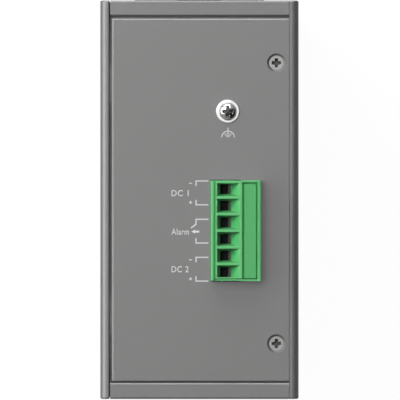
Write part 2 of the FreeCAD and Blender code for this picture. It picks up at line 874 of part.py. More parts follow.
def plug_contacts():
    """A square socket for the pin with a tab rising from it into the clamp cage."""
    contacts = []
    low, high = contact_socket_z()
    bore = pin_size + 2 * cage_side_clearance
    for pole in range(pole_count):
        y = pole_y(pole)
        socket = block(around(pin_x, contact_block_size), around(y, contact_block_size), (low, high))
        socket = socket.cut(block(around(pin_x, bore), around(y, bore), (low - 1, high - contact_socket_roof)))
        tab_z = (high - contact_socket_roof / 2, clamp_z() + cage_height / 2)
        tab = block(contact_tab_x(), around(y, contact_tab_width), tab_z)
        contacts.append(fused([socket, tab]))
    return Part.makeCompound(contacts)


def clamp_cage(pole):
    """Lifting cage: a rectangular collar, thicker where the screw's thread runs."""
    y = pole_y(pole)
    z = around(clamp_z(), cage_height)
    x = (cage_x_low, cage_x_low + cage_length)
    collar = block(x, around(y, cage_width), z)
    inside_x = (x[0] + cage_far_wall, x[1] - cage_thread_wall)
    inside = block(inside_x, around(y, cage_width - 2 * cage_side_wall), wider(z, 1))
    bore = clamp_screw_radius + clamp_screw_clearance
    thread = rod(V(inside_x[1] - 1, y, clamp_z()), along_x, bore, cage_thread_wall + 2)
    return collar.cut([inside, thread])


def clamp_screw(pole):
    """Slotted screw, held endways in the plug: its point stops just short of the contact's tab."""
    head_x = clamp_head_x()
    start = entry_x_high + cage_top_clearance
    y = pole_y(pole)
    shank = rod(V(start, y, clamp_z()), along_x, clamp_screw_radius, head_x[0] - start)
    head = rod(V(head_x[0], y, clamp_z()), along_x, clamp_screw_head_radius, clamp_screw_head_length)
    slot = block((head_x[1] - driver_slot_depth, head_x[1] + 1), around(y, 3 * clamp_screw_head_radius),
                 around(clamp_z(), driver_slot_width))
    return fused([shank, head]).cut(slot)


def power_board_z():
    top = lid_under_z - power_board_drop
    return (top - board_thickness, top)


def pin_holes(z):
    return [block(around(pin_x, pin_size), around(pole_y(pole), pin_size), z) for pole in range(pole_count)]


def header_housing():
    x = header_x()
    floor = power_board_z()[1]
    body = block(x, terminal_y(), (floor, case_height))
    trough = block(wider(x, -header_wall), wider(terminal_y(), 1), (floor + header_base, case_height + 1))
    return body.cut([trough] + pin_holes((floor - 1, floor + header_base + 1)))


def header_pins():
    """Square pins with pointed tips, soldered through the power board."""
    board_low = power_board_z()[0]
    tip = nose_low_z() + contact_recess + pin_engagement
    tail = board_low - pin_tail
    pins = []
    for pole in range(pole_count):
        y = pole_y(pole)
        shaft = block(around(pin_x, pin_size), around(y, pin_size), (tail, tip))
        pins.append(shaft.makeChamfer(pin_size / 5, [edge for edge in shaft.Edges if lies_on(edge, z=tip)]))
    return Part.makeCompound(pins)


# ---- Boards ----

def main_board():
    """Upright board beside the left cover, its parts facing right."""
    front_y = -half_depth + end_wall + main_board_front_gap
    x = (board_face_x - board_thickness, board_face_x)
    board = block(x, (front_y, main_board_rear_y), (main_board_low_z, main_board_high_z))
    holes = [rod(V(x[0] - 1, y, z), along_x, board_screw_thread_radius + thread_clearance, 5)
             for y, z in board_hole_places()]
    return board.cut(holes)


def hexagon_spacer(length, bore_start):
    """Hexagon bar from z = 0, tapped from bore_start to its far end."""
    angles = [math.radians(60 * side) for side in range(7)]
    hexagon = Part.makePolygon([V(spacer_radius * math.cos(a), spacer_radius * math.sin(a), 0) for a in angles])
    bore = rod(V(0, 0, bore_start), along_z, board_screw_thread_radius + thread_clearance, length)
    return Part.Face(hexagon).extrude(along_z * length).cut(bore)


def board_spacers():
    """Hexagon spacers, each with a stub in the left cover."""
    stub = rod(V(0, 0, 0), -along_z, spacer_stub_radius, spacer_stub_length)
    spacer = fused([hexagon_spacer(main_board_gap, spacer_wall), stub])
    return Part.makeCompound([aimed(spacer, V(-inner_x, y, z), along_x) for y, z in board_hole_places()])


def board_screws():
    return Part.makeCompound([aimed(board_screw(), V(board_face_x, y, z), along_x)
                              for y, z in board_hole_places()])


def power_board_y():
    return (terminal_y()[0] - power_board_front_margin, power_board_y_high)


def power_board_hole_places():
    x_low, x_high = wider((power_board_x_low, power_board_x_high), -power_board_inset)
    y_low, y_high = wider(power_board_y(), -power_board_inset)
    return [(x, y) for x in (x_low, x_high) for y in (y_low, y_high)]


def power_board():
    """Level board hung under the top panel."""
    z = power_board_z()
    board = block((power_board_x_low, power_board_x_high), power_board_y(), z)
    bore = board_screw_thread_radius + thread_clearance
    holes = [rod(V(x, y, z[0] - 1), along_z, bore, board_thickness + 2) for x, y in power_board_hole_places()]
    return board.cut(holes + pin_holes(wider(z, 1)))


def power_board_spacers():
    """Hexagon spacers bonded under the top panel."""
    spacer = hexagon_spacer(power_board_drop, power_board_drop - board_screw_length - hole_reserve)
    return Part.makeCompound([aimed(spacer, V(x, y, lid_under_z), -along_z)
                              for x, y in power_board_hole_places()])


def power_board_screws():
    low = power_board_z()[0]
    return Part.makeCompound([aimed(board_screw(), V(x, y, low), -along_z)
                              for x, y in power_board_hole_places()])


def link_span_y():
    return around(link_y, link_pin_count * link_pitch)


def link_pin_ys():
    first = link_y - (link_pin_count - 1) / 2 * link_pitch
    return [first + index * link_pitch for index in range(link_pin_count)]


def link_socket():
    """Socket strip hanging from the power board's underside."""
    top = power_board_z()[0]
    low = top - link_socket_height
    body = block(around(link_x, link_width), link_span_y(), (low, top))
    hole_z = (low - 1, top - link_socket_roof)
    return body.cut([block(around(link_x, link_pin_size), around(y, link_pin_size), hole_z)
                     for y in link_pin_ys()])


def link_header():
    """Right-angle header strip on the main board, under the socket."""
    x = (board_face_x, board_face_x + link_header_thickness)
    body = block(x, link_span_y(), around(link_header_z, link_pitch))
    hole_z = around(link_header_z, link_pin_size)
    return body.cut([block(wider(x, 1), around(y, link_pin_size), hole_z) for y in link_pin_ys()])


def link_pins():
    """Each pin runs out of the header, turns up and stands in the socket."""
    low_z = link_header_z - link_pin_size / 2
    outer_x = link_x + link_pin_size / 2
    top = power_board_z()[0] - 2 * link_socket_roof
    path = [(board_face_x, low_z), (outer_x, low_z), (outer_x, top)]
    return Part.makeCompound([sheet(path, link_pin_size, 0, "XZ", around(y, link_pin_size))
                              for y in link_pin_ys()])


# ---- Front ports ----

def port_places():
    """Middle of each port as (x, z), with the side its latch notch faces."""
    middle_x = board_face_x + port_block_height / 2
    low_z = port_block_low_z + port_end_margin + port_pitch_z / 2
    return [(middle_x + side * port_pitch_x / 2, low_z + row * port_pitch_z, side)
            for side in (-1, 1) for row in range(port_rows)]


def port_block_y():
    return (-half_depth, -half_depth + port_block_depth)


def port_mouths(y, margin):
    """Tools for the port cavities and their latch notches."""
    mouths = []
    reach = port_height / 2 + latch_notch_height + margin
    for x, z, side in port_places():
        notch = tuple(sorted((x, x + side * reach)))
        mouths.append(block(wider(around(x, port_height), margin), y, wider(around(z, port_width), margin)))
        mouths.append(block(notch, y, wider(around(z, latch_notch_width), margin)))
    return mouths


def port_housing():
    """One moulding with eight cavities, two columns back to back, inside the metal shield."""
    low_y, high_y = port_block_y()
    x = (port_block_x()[0], port_block_x()[1] - shield_wall)
    body = block(x, (low_y + shield_wall, high_y - shield_wall), wider(port_block_z(), -shield_wall))
    return body.cut(port_mouths((low_y - 1, low_y + port_depth), 0))


def port_shield():
    """Folded can round the moulding, open towards the board, with a window for each port."""
    low_y, high_y = port_block_y()
    can = block(port_block_x(), (low_y, high_y), port_block_z())
    low_x, high_x = port_block_x()
    inside_y = (low_y + shield_wall, high_y - shield_wall)
    inside = block((low_x - 1, high_x - shield_wall), inside_y, wider(port_block_z(), -shield_wall))
    return can.cut([inside] + port_mouths((low_y - 1, low_y + 1), 0.1))


def port_contacts():
    """Eight sprung wires in each port: a run along the wall, folded back into the cavity."""
    start_y = -half_depth + port_depth
    front_y = start_y - contact_run
    wires = []
    for x, z, side in port_places():
        wall = x - side * port_height / 2
        lifted = wall + side * contact_lift
        path = [(wall, start_y), (wall, front_y), (lifted, start_y - contact_run / 4)]
        if side < 0:
            path = path[::-1]
        for index in range(contact_count):
            middle = z + (index - (contact_count - 1) / 2) * contact_pitch
            wires.append(sheet(path, contact_thickness, 0, "XY", around(middle, contact_width)))
    return Part.makeCompound(wires)


def module_cage(index):
    """Folded steel cage for a pluggable module, open at the front and over its connector."""
    x, zs = module_cage_spans()
    y = (-half_depth, -half_depth + module_cage_depth)
    wall = module_cage_wall
    cage = block(x, y, zs[index])
    cage = cage.cut(block(wider(x, -wall), (y[0] - 1, y[1] - wall), wider(zs[index], -wall)))
    over_connector = block((x[0] - 1, x[0] + wall + 0.1), (y[1] - module_plug_depth - 4, y[1] - wall),
                           around(sum(zs[index]) / 2, module_plug_width + 0.6))
    return cage.cut(over_connector)


def module_plugs():
    """The card-edge connector at the back of each cage."""
    x, zs = module_cage_spans()
    high_y = -half_depth + module_cage_depth - module_cage_wall - 0.2
    slot_x = x[0] + module_plug_height / 2
    plugs = []
    for z in zs:
        middle = sum(z) / 2
        body = block((x[0], x[0] + module_plug_height), (high_y - module_plug_depth, high_y),
                     around(middle, module_plug_width))
        body = rounded(body, 0.5, lambda edge: lies_on(edge, x=x[0] + module_plug_height))
        mouth = block(around(slot_x, 1.2), (high_y - module_plug_depth - 1, high_y - 2),
                      around(middle, module_plug_width - 2))
        plugs.append(body.cut(mouth))
    return Part.makeCompound(plugs)


def light_pipes():
    """Clear rods from the board's lamps to the front panel, each with a sloped reflecting heel."""
    front = -half_depth + lamp_recess
    foot = board_face_x + lamp_height
    width = 2 * lamp_radius
    pipes = []
    for x, z, back in lamp_places():
        run = rod(V(x, front, z), along_y, lamp_radius, back - front - width / 2)
        shoulder = x + lamp_radius * 0.8
        section = [(foot, back - width), (x + lamp_radius, back - width), (shoulder, back - lamp_radius),
                   (x, back), (foot, back)]
        heel = prism(section, "XY", around(z, 1.4 * lamp_radius))
        pipes.append(fused([run, heel]))
    return Part.makeCompound(pipes)


def indicator_lamps():
    return Part.makeCompound([standing_block(back - lamp_radius, z, lamp_size, lamp_size, 0, lamp_height)
                              for x, z, back in lamp_places()])


# ---- Parts on the boards ----

def standing_block(y, z, size_y, size_z, base, height):
    """A box that stands on the main board, base off its face."""
    x = board_face_x + base
    return block((x, x + height), around(y, size_y), around(z, size_z))


def packaged_chip(y, z, size, height):
    """Flat package with a bevelled top and the dimple that marks its first lead."""
    body = standing_block(y, z, size, size, 0, height)
    top = board_face_x + height
    body = body.makeChamfer(height / 5, [edge for edge in body.Edges if lies_on(edge, x=top)])
    dimple = rod(V(top - height / 10, y - size * 0.38, z + size * 0.38), along_x, size / 20, 1)
    return body.cut(dimple)


def chip_heat_sink():
    """Extruded comb of upright fins on a flat base."""
    base = chip_height + pad_thickness
    sink = standing_block(chip_y, chip_z, sink_size, sink_size, base, sink_height)
    pitch = (sink_size - sink_fin_thickness) / (sink_fins - 1)
    floor_x = board_face_x + base + sink_base
    first_gap = chip_y - sink_size / 2 + sink_fin_thickness
    gap_ys = [(first_gap + index * pitch, first_gap + (index + 1) * pitch - sink_fin_thickness)
              for index in range(sink_fins - 1)]
    gaps = [block((floor_x, floor_x + sink_height), y, around(chip_z, sink_size + 2)) for y in gap_ys]
    return sink.cut(gaps)


def port_transformers():
    """One pulse transformer behind each pair of ports."""
    row_zs = sorted({z for x, z, side in port_places()})
    bodies = [standing_block(transformer_y, z, transformer_width, transformer_length, 0, transformer_height)
              for z in row_zs]
    top = board_face_x + transformer_height
    return Part.makeCompound([bevelled(body, transformer_bevel, lambda edge: lies_on(edge, x=top))
                              for body in bodies])


def storage_capacitors():
    """Electrolytic cans standing on the board, each with a rolled groove near its foot."""
    groove_radius = capacitor_radius - capacitor_groove
    groove_z = capacitor_radius / 2
    profile = [(0, 0), (capacitor_radius, 0), (groove_radius, groove_z), (capacitor_radius, 2 * groove_z),
               (capacitor_radius, capacitor_height), (0, capacitor_height)]
    can = turned(profile)
    zs = [capacitor_low_z + index * capacitor_pitch for index in range(capacitor_count)]
    return Part.makeCompound([aimed(can, V(board_face_x, capacitor_y, z), along_x) for z in zs])


def power_inductor():
    """Shielded inductor: a square ferrite with cut corners."""
    body = standing_block(inductor_y, inductor_z, inductor_size, inductor_size, 0, inductor_height)
    return bevelled(body, inductor_corner, lambda edge: edge.BoundBox.XLength > inductor_height / 2)


def power_transformer():
    """Ferrite core with a window each side of its middle leg, and the bobbin that stands on the board."""
    core = standing_block(core_y, core_z, core_length, core_width, core_base, core_height)
    half_leg = core_leg / 2
    window_edge = core_length / 2 - half_leg
    window_x = (board_face_x + core_base + half_leg, board_face_x + core_base + core_height - half_leg)
    windows = [block(window_x, (core_y + low, core_y + high), around(core_z, core_width + 2))
               for low, high in ((half_leg, window_edge), (-window_edge, -half_leg))]
    width = 2 * (window_edge - winding_clearance)
    length = core_width + 2 * (winding_overhang + bobbin_flange)
    winding = block(wider(window_x, -winding_clearance), around(core_y, width), around(core_z, length))
    flanges = [block((board_face_x, window_x[1] - winding_clearance), around(core_y, width),
                     around(core_z + side * (length - bobbin_flange) / 2, bobbin_flange)) for side in (-1, 1)]
    leg = block(wider(window_x, 1), around(core_y, core_leg + 2 * winding_clearance),
                around(core_z, core_width + 2 * winding_clearance))
    return Part.makeCompound([core.cut(windows), fused([winding] + flanges).cut(leg)])


def alarm_relay():
    body = block(around(relay_x, relay_width), around(relay_y, relay_length),
                 (power_board_z()[1], power_board_z()[1] + relay_height))
    top = power_board_z()[1] + relay_height
    return bevelled(body, relay_bevel, lambda edge: lies_on(edge, z=top))


def input_choke():
    """Wound ring lying on the power board."""
    low = power_board_z()[1]
    ring = rod(V(choke_x, choke_y, low), along_z, choke_outer_radius, choke_height)
    ring = ring.cut(rod(V(choke_x, choke_y, low - 1), along_z, choke_inner_radius, choke_height + 2))
    return ring.makeChamfer(choke_bevel, [edge for edge in ring.Edges if lies_on(edge, z=low + choke_height)])


# ---- Rail clip ----
# The bracket's two hooks hang on the rail's upper lip. The latch slides in the guides below, and its
# nose snaps behind the lower lip. Pulled down, the latch lets go, and the spring lifts it again.

def seat_y():
    return half_depth + hook_sheet


def hook_gap():
    return rail_lip + rail_gap


def rail_edges_z():
    return around(rail_center_z, rail_height)


def guide_x():
    """Outer face of each guide wall."""
    return latch_width / 2 + latch_side_clearance + hook_sheet


def rail_bracket():
    """One folded sheet: seat, two hooks on top, and a channel with turned-in lips for the latch."""
    low_edge, high_edge = rail_edges_z()
    crown = high_edge + rail_edge_gap + hook_sheet
    back = seat_y() + hook_gap() + hook_sheet
    tip = crown - hook_sheet - hook_reach
    hook_path = [(half_depth, bracket_low_z), (half_depth, crown), (back, crown), (back, tip)]
    profile = sheet(hook_path[::-1], hook_sheet, hook_bend_radius, "YZ", around(0, bracket_width))
    notch = block(around(0, hook_notch_width), (seat_y(), back + 1), (tip - 1, crown + 1))
    below_seat = low_edge - seat_drop
    corner_y = (half_depth - 1, back + 1)
    corner_z = (bracket_low_z - 1, below_seat)
    corners = [block(tuple(sorted((side * guide_x(), side * bracket_width))), corner_y, corner_z)
               for side in (-1, 1)]
    plate = profile.cut([notch] + corners)
    lip_y = seat_y() + 2 * latch_face_clearance + latch_thickness + hook_sheet
    edge = guide_x()
    guide_path = [(-edge + guide_lip, lip_y), (-edge, lip_y), (-edge, half_depth), (edge, half_depth),
                  (edge, lip_y), (edge - guide_lip, lip_y)]
    guides = sheet(guide_path, hook_sheet, hook_bend_radius, "XY", (guide_low_z, guide_high_z))
    stop_y = (half_depth + hook_sheet / 2, latch_y()[1] - pocket_web - 2 * latch_face_clearance)
    stop = block(around(0, stop_width), stop_y, (pocket_low_z, pocket_low_z + stop_height))
    tool = countersink(bracket_screw_head_radius, bracket_screw_thread_radius, 0, hook_sheet + 1)
    holes = [aimed(tool, V(x, seat_y(), z), along_y) for x, z in bracket_screw_places()]
    return fused([plate, guides, stop]).cut(holes)


def bracket_screws():
    screw = countersunk_screw(bracket_screw_head_radius, bracket_screw_thread_radius, bracket_screw_length)
    return Part.makeCompound([aimed(screw, V(x, seat_y(), z), along_y) for x, z in bracket_screw_places()])


def latch_y():
    low = seat_y() + latch_face_clearance
    return (low, low + latch_thickness)


def rail_latch():
    """Moulded slide: snap nose on top, spring pocket behind a thin web, and a lip and slot to pull it by."""
    low, high = latch_y()
    shoulder = rail_edges_z()[0] - rail_edge_gap
    nose_y = seat_y() + hook_gap()
    nose_top = shoulder + hook_reach
    slope_start = nose_top - latch_snap_slope
    lip_top = latch_low_z + latch_lip_height
    section = [(low, latch_low_z), (high + latch_lip, latch_low_z), (high + latch_lip, lip_top),
               (high, lip_top + latch_lip / 2), (high, slope_start), (high - latch_snap_slope * 0.7, nose_top),
               (nose_y, nose_top), (nose_y, shoulder), (low, shoulder)]
    body = prism(section, "YZ", around(0, latch_width), [0.4, 0.8, 0.4, 0.8, 0.6, 0.3, 0, 0, 0])
    bevels = []
    for side in (-1, 1):
        edge = side * latch_width / 2
        for y, inward, start in ((low, 1, latch_low_z - 1), (high, -1, lip_top + latch_lip / 2)):
            corner = [(edge, y), (edge - side * hook_bend_radius, y), (edge, y + inward * hook_bend_radius)]
            bevels.append(prism(corner, "XY", (start, nose_top + 1)))
    pocket = block(around(0, pocket_width), (low - 1, high - pocket_web), (pocket_low_z, pocket_high_z))
    slot = block(around(0, latch_slot_width), (low - 1, high + 5), around(latch_slot_z, latch_slot_height))
    slot = rounded(slot, 0.8, lambda edge: edge.BoundBox.YLength > 1)
    return body.cut(bevels + [pocket, slot])


def latch_spring():
    """Zigzag spring of flat steel strip, standing on the bracket's stop and bearing on the pocket's top."""
    low = pocket_low_z + stop_height + spring_seat_gap
    rise = (pocket_high_z - spring_seat_gap - spring_strip - low) / spring_turns
    middle_y = seat_y() + latch_face_clearance + (latch_thickness - pocket_web) / 2
    path = []
    for row in range(spring_turns + 1):
        leftward = row % 2
        height = low + row * rise + leftward * spring_strip
        ends = [(spring_strip - spring_half_width, height), (spring_half_width, height)]
        path += ends[::-1] if leftward else ends
    bend = (rise - spring_strip) / 2 * 0.98
    return sheet(path, spring_strip, bend, "XZ", around(middle_y, spring_width))


# ---- The pieces, one file each ----

def pieces():
    named = {
        "left_side_cover": left_side_cover(),
        "right_side_cover": right_side_cover(),
        "top_panel": top_panel(),
        "bottom_panel": lid(),
        "front_panel": front_panel(),
        "rear_panel": rear_panel(),
        "side_cover_screws": side_cover_screws(),
        "top_panel_screws": lid_screws(up=True),
        "bottom_panel_screws": lid_screws(up=False),
        "earth_screw": earth_screw(),
        "earth_washer": earth_washer(),
        "earth_nut": earth_nut(),
        "plug_housing": plug_housing(),
        "plug_contacts": plug_contacts(),
        "header_housing": header_housing(),
        "header_pins": header_pins(),
        "main_board": main_board(),
        "board_spacers": board_spacers(),
        "board_screws": board_screws(),
        "power_board": power_board(),
        "power_board_spacers": power_board_spacers(),
        "power_board_screws": power_board_screws(),
        "link_socket": link_socket(),
        "link_header": link_header(),
        "link_pins": link_pins(),
        "port_housing": port_housing(),
        "port_shield": port_shield(),
        "port_contacts": port_contacts(),
        "module_cage_lower": module_cage(0),
        "module_cage_upper": module_cage(1),
        "module_connectors": module_plugs(),
        "light_pipes": light_pipes(),
        "indicator_lamps": indicator_lamps(),
        "switch_chip": packaged_chip(chip_y, chip_z, chip_size, chip_height),
        "chip_pad": standing_block(chip_y, chip_z, chip_size - 2, chip_size - 2, chip_height, pad_thickness),
        "chip_heat_sink": chip_heat_sink(),
        "controller_chip": packaged_chip(controller_y, controller_z, controller_size, controller_height),
        "port_transformers": port_transformers(),
        "storage_capacitors": storage_capacitors(),
        "power_inductor": power_inductor(),
        "power_transformer": power_transformer(),
        "alarm_relay": alarm_relay(),
        "input_choke": input_choke(),
        "rail_bracket": rail_bracket(),
        "bracket_screws": bracket_screws(),
        "rail_latch": rail_latch(),
        "latch_spring": latch_spring(),
    }
    for pole in range(pole_count):
        named["clamp_screw_%d" % (pole + 1)] = clamp_screw(pole)
        named["clamp_cage_%d" % (pole + 1)] = clamp_cage(pole)
    return named


os.makedirs("parts", exist_ok=True)
for name, shape in pieces().items():
    shape.exportStep("parts/%s.step" % name)
    state = "valid" if shape.isValid() else "INVALID"
    print(name, len(shape.Solids), "solids", round(shape.Volume, 2), "mm3", state)
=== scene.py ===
import json
import math

import bmesh
import bpy
import numpy as np
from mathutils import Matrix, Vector


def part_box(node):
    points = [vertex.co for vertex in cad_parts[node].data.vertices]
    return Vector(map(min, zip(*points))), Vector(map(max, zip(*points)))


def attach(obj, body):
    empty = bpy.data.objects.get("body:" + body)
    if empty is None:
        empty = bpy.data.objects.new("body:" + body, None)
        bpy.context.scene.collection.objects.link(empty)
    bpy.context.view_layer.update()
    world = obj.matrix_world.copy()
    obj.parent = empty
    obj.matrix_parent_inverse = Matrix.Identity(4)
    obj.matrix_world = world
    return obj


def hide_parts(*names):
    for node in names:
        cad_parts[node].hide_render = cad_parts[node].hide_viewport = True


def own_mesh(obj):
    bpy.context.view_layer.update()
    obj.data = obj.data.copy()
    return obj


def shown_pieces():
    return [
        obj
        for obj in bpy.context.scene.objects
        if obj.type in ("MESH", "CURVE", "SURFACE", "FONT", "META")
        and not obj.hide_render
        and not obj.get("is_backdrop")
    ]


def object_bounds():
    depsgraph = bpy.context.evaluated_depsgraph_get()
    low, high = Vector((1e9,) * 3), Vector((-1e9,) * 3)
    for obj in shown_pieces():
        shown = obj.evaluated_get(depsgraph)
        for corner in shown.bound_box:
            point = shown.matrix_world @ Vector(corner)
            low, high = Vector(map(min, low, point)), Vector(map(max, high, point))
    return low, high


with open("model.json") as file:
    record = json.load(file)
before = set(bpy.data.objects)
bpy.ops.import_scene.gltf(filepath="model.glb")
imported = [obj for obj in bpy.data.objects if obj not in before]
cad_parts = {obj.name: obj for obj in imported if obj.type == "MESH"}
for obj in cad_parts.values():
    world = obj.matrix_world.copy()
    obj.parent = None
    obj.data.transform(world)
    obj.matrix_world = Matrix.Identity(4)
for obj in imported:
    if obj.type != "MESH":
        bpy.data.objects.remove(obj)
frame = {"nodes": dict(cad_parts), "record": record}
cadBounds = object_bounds()
cadNodes = frame["nodes"]
nodeBody = {part: body for body, parts in frame["record"]["behaviour"]["bodies"].items() for part in parts}
nodeSlot = {part["node"]: part["material_slot"] for part in frame["record"]["subparts"]}
print("frame loaded,", len(cadNodes), "parts")

mm = 0.001
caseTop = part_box("left_side_cover")[1].z
plugLow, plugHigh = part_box("plug_housing")
scene = bpy.context.scene
scene.view_settings.view_transform = "Standard"


# Node helpers

def nodeTree(owner):
    owner.use_nodes = True
    owner.node_tree.nodes.clear()
    return owner.node_tree


def addNode(tree, kind, inputs=None, **settings):
    # inputs takes sockets to link or plain values, by name or number
    node = tree.nodes.new(kind)
    for key, value in settings.items():
        setattr(node, key, value)
    for socket, value in (inputs or {}).items():
        if isinstance(value, bpy.types.NodeSocket):
            tree.links.new(value, node.inputs[socket])
        else:
            node.inputs[socket].default_value = value
    return node


def mathNode(tree, operation, first, second=0.0, clamp=False):
    inputs = {0: first, 1: second}
    return addNode(tree, "ShaderNodeMath", inputs, operation=operation, use_clamp=clamp).outputs[0]


def vectorNode(tree, operation, first, second):
    return addNode(tree, "ShaderNodeVectorMath", {0: first, 1: second}, operation=operation).outputs


def mapRange(tree, value, fromMin, fromMax, toMin, toMax):
    inputs = {"Value": value, "From Min": fromMin, "From Max": fromMax, "To Min": toMin, "To Max": toMax}
    return addNode(tree, "ShaderNodeMapRange", inputs).outputs[0]


def mixColour(tree, factor, first, second, blend="MIX"):
    # 6 and 7 are the two colour sockets of a Mix node, and output 2 is its colour
    mix = addNode(tree, "ShaderNodeMix", {"Factor": factor}, data_type="RGBA", blend_type=blend)
    for index, value in ((6, first), (7, second)):
        if isinstance(value, bpy.types.NodeSocket):
            tree.links.new(value, mix.inputs[index])
        else:
            mix.inputs[index].default_value = value
    return mix.outputs[2]


def objectPoint(tree):
    coordinate = addNode(tree, "ShaderNodeTexCoord").outputs["Object"]
    return addNode(tree, "ShaderNodeMapping", {"Vector": coordinate}).outputs[0]


def noise(tree, vector, scale, detail=2.0, roughness=0.5):
    inputs = {"Vector": vector, "Scale": scale, "Detail": detail, "Roughness": roughness}
    return addNode(tree, "ShaderNodeTexNoise", inputs).outputs["Fac"]


# Camera, lamps and floor

studio = {
    "lens": 600.0,
    "sensor": 36.0,
    "clip": (0.05, 100.0),
    "viewWidth": 0.12092,
    "viewCentre": (0.00017, -0.00008),
    "keyDirection": (-0.58, 0.44, 0.68),
    "keyDistance": 5.0,
    "keySize": 2.8,
    "keyPower": 173.0,
    "topDirection": (-0.16, 0.12, 1.0),
    "topDistance": 3.0,
    "topSize": 1.1,
    "topPower": 16.5,
    "glowDirections": ((-1.0, 0.12, 0.75), (-0.12, 1.0, 0.75)),
    "glowDistance": 2.4,
    "glowSize": 1.9,
    "glowPowers": (66.0, 95.0),
    "fillLevel": 0.10,
    "darkDirection": (0.66, -0.56, 0.50),
    "darkSpread": (0.3, 0.8),   # cosines where the dark wall starts and is full
    "darkWall": 0.55,
    "glossyShare": 0.3,
    "floorSize": 60.0,
    "floorGlow": 0.97,
    "floorShade": 0.07,
    "floorBounce": 0.85,
}


def makeCamera():
    data = bpy.data.cameras.new("topCamera")
    data.lens = studio["lens"]
    data.sensor_width = studio["sensor"]
    data.clip_start, data.clip_end = studio["clip"]
    camera = bpy.data.objects.new("topCamera", data)
    distance = studio["viewWidth"] * studio["lens"] / studio["sensor"]
    camera.location = (*studio["viewCentre"], caseTop + distance)
    scene.collection.objects.link(camera)
    scene.camera = camera


def softbox(name, direction, distance, size, power):
    # a square lamp that stands in that direction from the middle of the case's top, and faces it
    data = bpy.data.lights.new(name, "AREA")
    data.shape = "SQUARE"
    data.size = size
    data.energy = power
    lamp = bpy.data.objects.new(name, data)
    target = np.array([0, 0, caseTop])
    lamp.location = target + np.array(direction) / np.linalg.norm(direction) * distance
    lamp.rotation_mode = "QUATERNION"
    lamp.rotation_quaternion = (lamp.location - Vector(target)).to_track_quat("Z", "Y")
    scene.collection.objects.link(lamp)
    return lamp


def backgroundRays(tree):
    # camera rays + transmission rays + a share of the glossy rays, all of which are to see the background
    rays = addNode(tree, "ShaderNodeLightPath").outputs
    glossy = mathNode(tree, "MULTIPLY", rays["Is Glossy Ray"], studio["glossyShare"])
    direct = mathNode(tree, "ADD", rays["Is Camera Ray"], glossy)
    return mathNode(tree, "ADD", direct, rays["Is Transmission Ray"], True)


def makeWorld():
    # white for the background and a low fill for the rest, less one dark wall that only glossy rays see
    world = bpy.data.worlds.new("studioWorld")
    scene.world = world
    tree = nodeTree(world)
    glossy = addNode(tree, "ShaderNodeLightPath").outputs["Is Glossy Ray"]
    towards = addNode(tree, "ShaderNodeTexCoord").outputs["Generated"]
    dark = np.array(studio["darkDirection"]) / np.linalg.norm(studio["darkDirection"])
    facing = vectorNode(tree, "DOT_PRODUCT", towards, dark.tolist())["Value"]
    wall = mapRange(tree, facing, *studio["darkSpread"], 0.0, studio["darkWall"])
    shaded = mathNode(tree, "MULTIPLY", wall, glossy)
    pale = mapRange(tree, backgroundRays(tree), 0.0, 1.0, studio["fillLevel"], 1.0)
    strength = mathNode(tree, "SUBTRACT", pale, shaded, True)
    background = addNode(tree, "ShaderNodeBackground", {"Color": (1, 1, 1, 1), "Strength": strength})
    addNode(tree, "ShaderNodeOutputWorld", {"Surface": background.outputs[0]})


def makeFloor():
    # a white glow with a weak diffuse added, which is missing in a shadow; other rays see a plain pale floor
    half = studio["floorSize"] / 2
    mesh = bpy.data.meshes.new("floor")
    corners = [(-half, -half, 0), (half, -half, 0), (half, half, 0), (-half, half, 0)]
    mesh.from_pydata(corners, [], [(0, 1, 2, 3)])
    floor = bpy.data.objects.new("floor", mesh)
    floor.location.z = cadBounds[0].z
    scene.collection.objects.link(floor)
    material = bpy.data.materials.new("paperFloor")
    tree = nodeTree(material)
    glow = addNode(tree, "ShaderNodeEmission", {"Color": (1, 1, 1, 1), "Strength": studio["floorGlow"]})
    shadow = addNode(tree, "ShaderNodeBsdfDiffuse", {"Color": (*[studio["floorShade"]] * 3, 1)})
    seen = addNode(tree, "ShaderNodeAddShader", {0: glow.outputs[0], 1: shadow.outputs[0]})
    plain = addNode(tree, "ShaderNodeBsdfDiffuse", {"Color": (*[studio["floorBounce"]] * 3, 1)})
    either = {0: backgroundRays(tree), 1: plain.outputs[0], 2: seen.outputs[0]}
    mixed = addNode(tree, "ShaderNodeMixShader", either)
    addNode(tree, "ShaderNodeOutputMaterial", {"Surface": mixed.outputs[0]})
    mesh.materials.append(material)
    floor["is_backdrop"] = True


makeCamera()
keyPlace = (studio["keyDirection"], studio["keyDistance"], studio["keySize"], studio["keyPower"])
keyLamp = softbox("keyLamp", *keyPlace)
lidKeyLamp = softbox("lidKeyLamp", *keyPlace)
softbox("topLamp", studio["topDirection"], studio["topDistance"], studio["topSize"], studio["topPower"])
for index, (direction, power) in enumerate(zip(studio["glowDirections"], studio["glowPowers"])):
    glow = softbox("glowLamp%d" % index, direction, studio["glowDistance"], studio["glowSize"], power)
    glow.visible_diffuse = False   # it only draws the highlights on the rounded edges
makeWorld()
makeFloor()
print("studio ready")


# Shared surface effects, each one node group

surface = {
    "fineNoise": (3.0, 0.55),     # detail and roughness, as in the next three
    "cloudNoise": (4.0, 0.6),
    "rubNoise": (4.0, 0.65),
    "streakNoise": (3.0, 0.6),
    "rubSamples": 4,
    "rubRadius": 0.25 * mm,
    "rubLean": 0.85,              # cosine between soft and face normal where the mask is full
    "rubPatches": (0.42, 0.62),
    "paintBump": 0.1 * mm,
    "metalBump": 0.05 * mm,
    "toneSlower": 0.2,
    "noiseRange": (0.3, 0.7),     # the part of a noise's values that a roughness follows
    "metalRoughness": (0.06, -0.04),
}


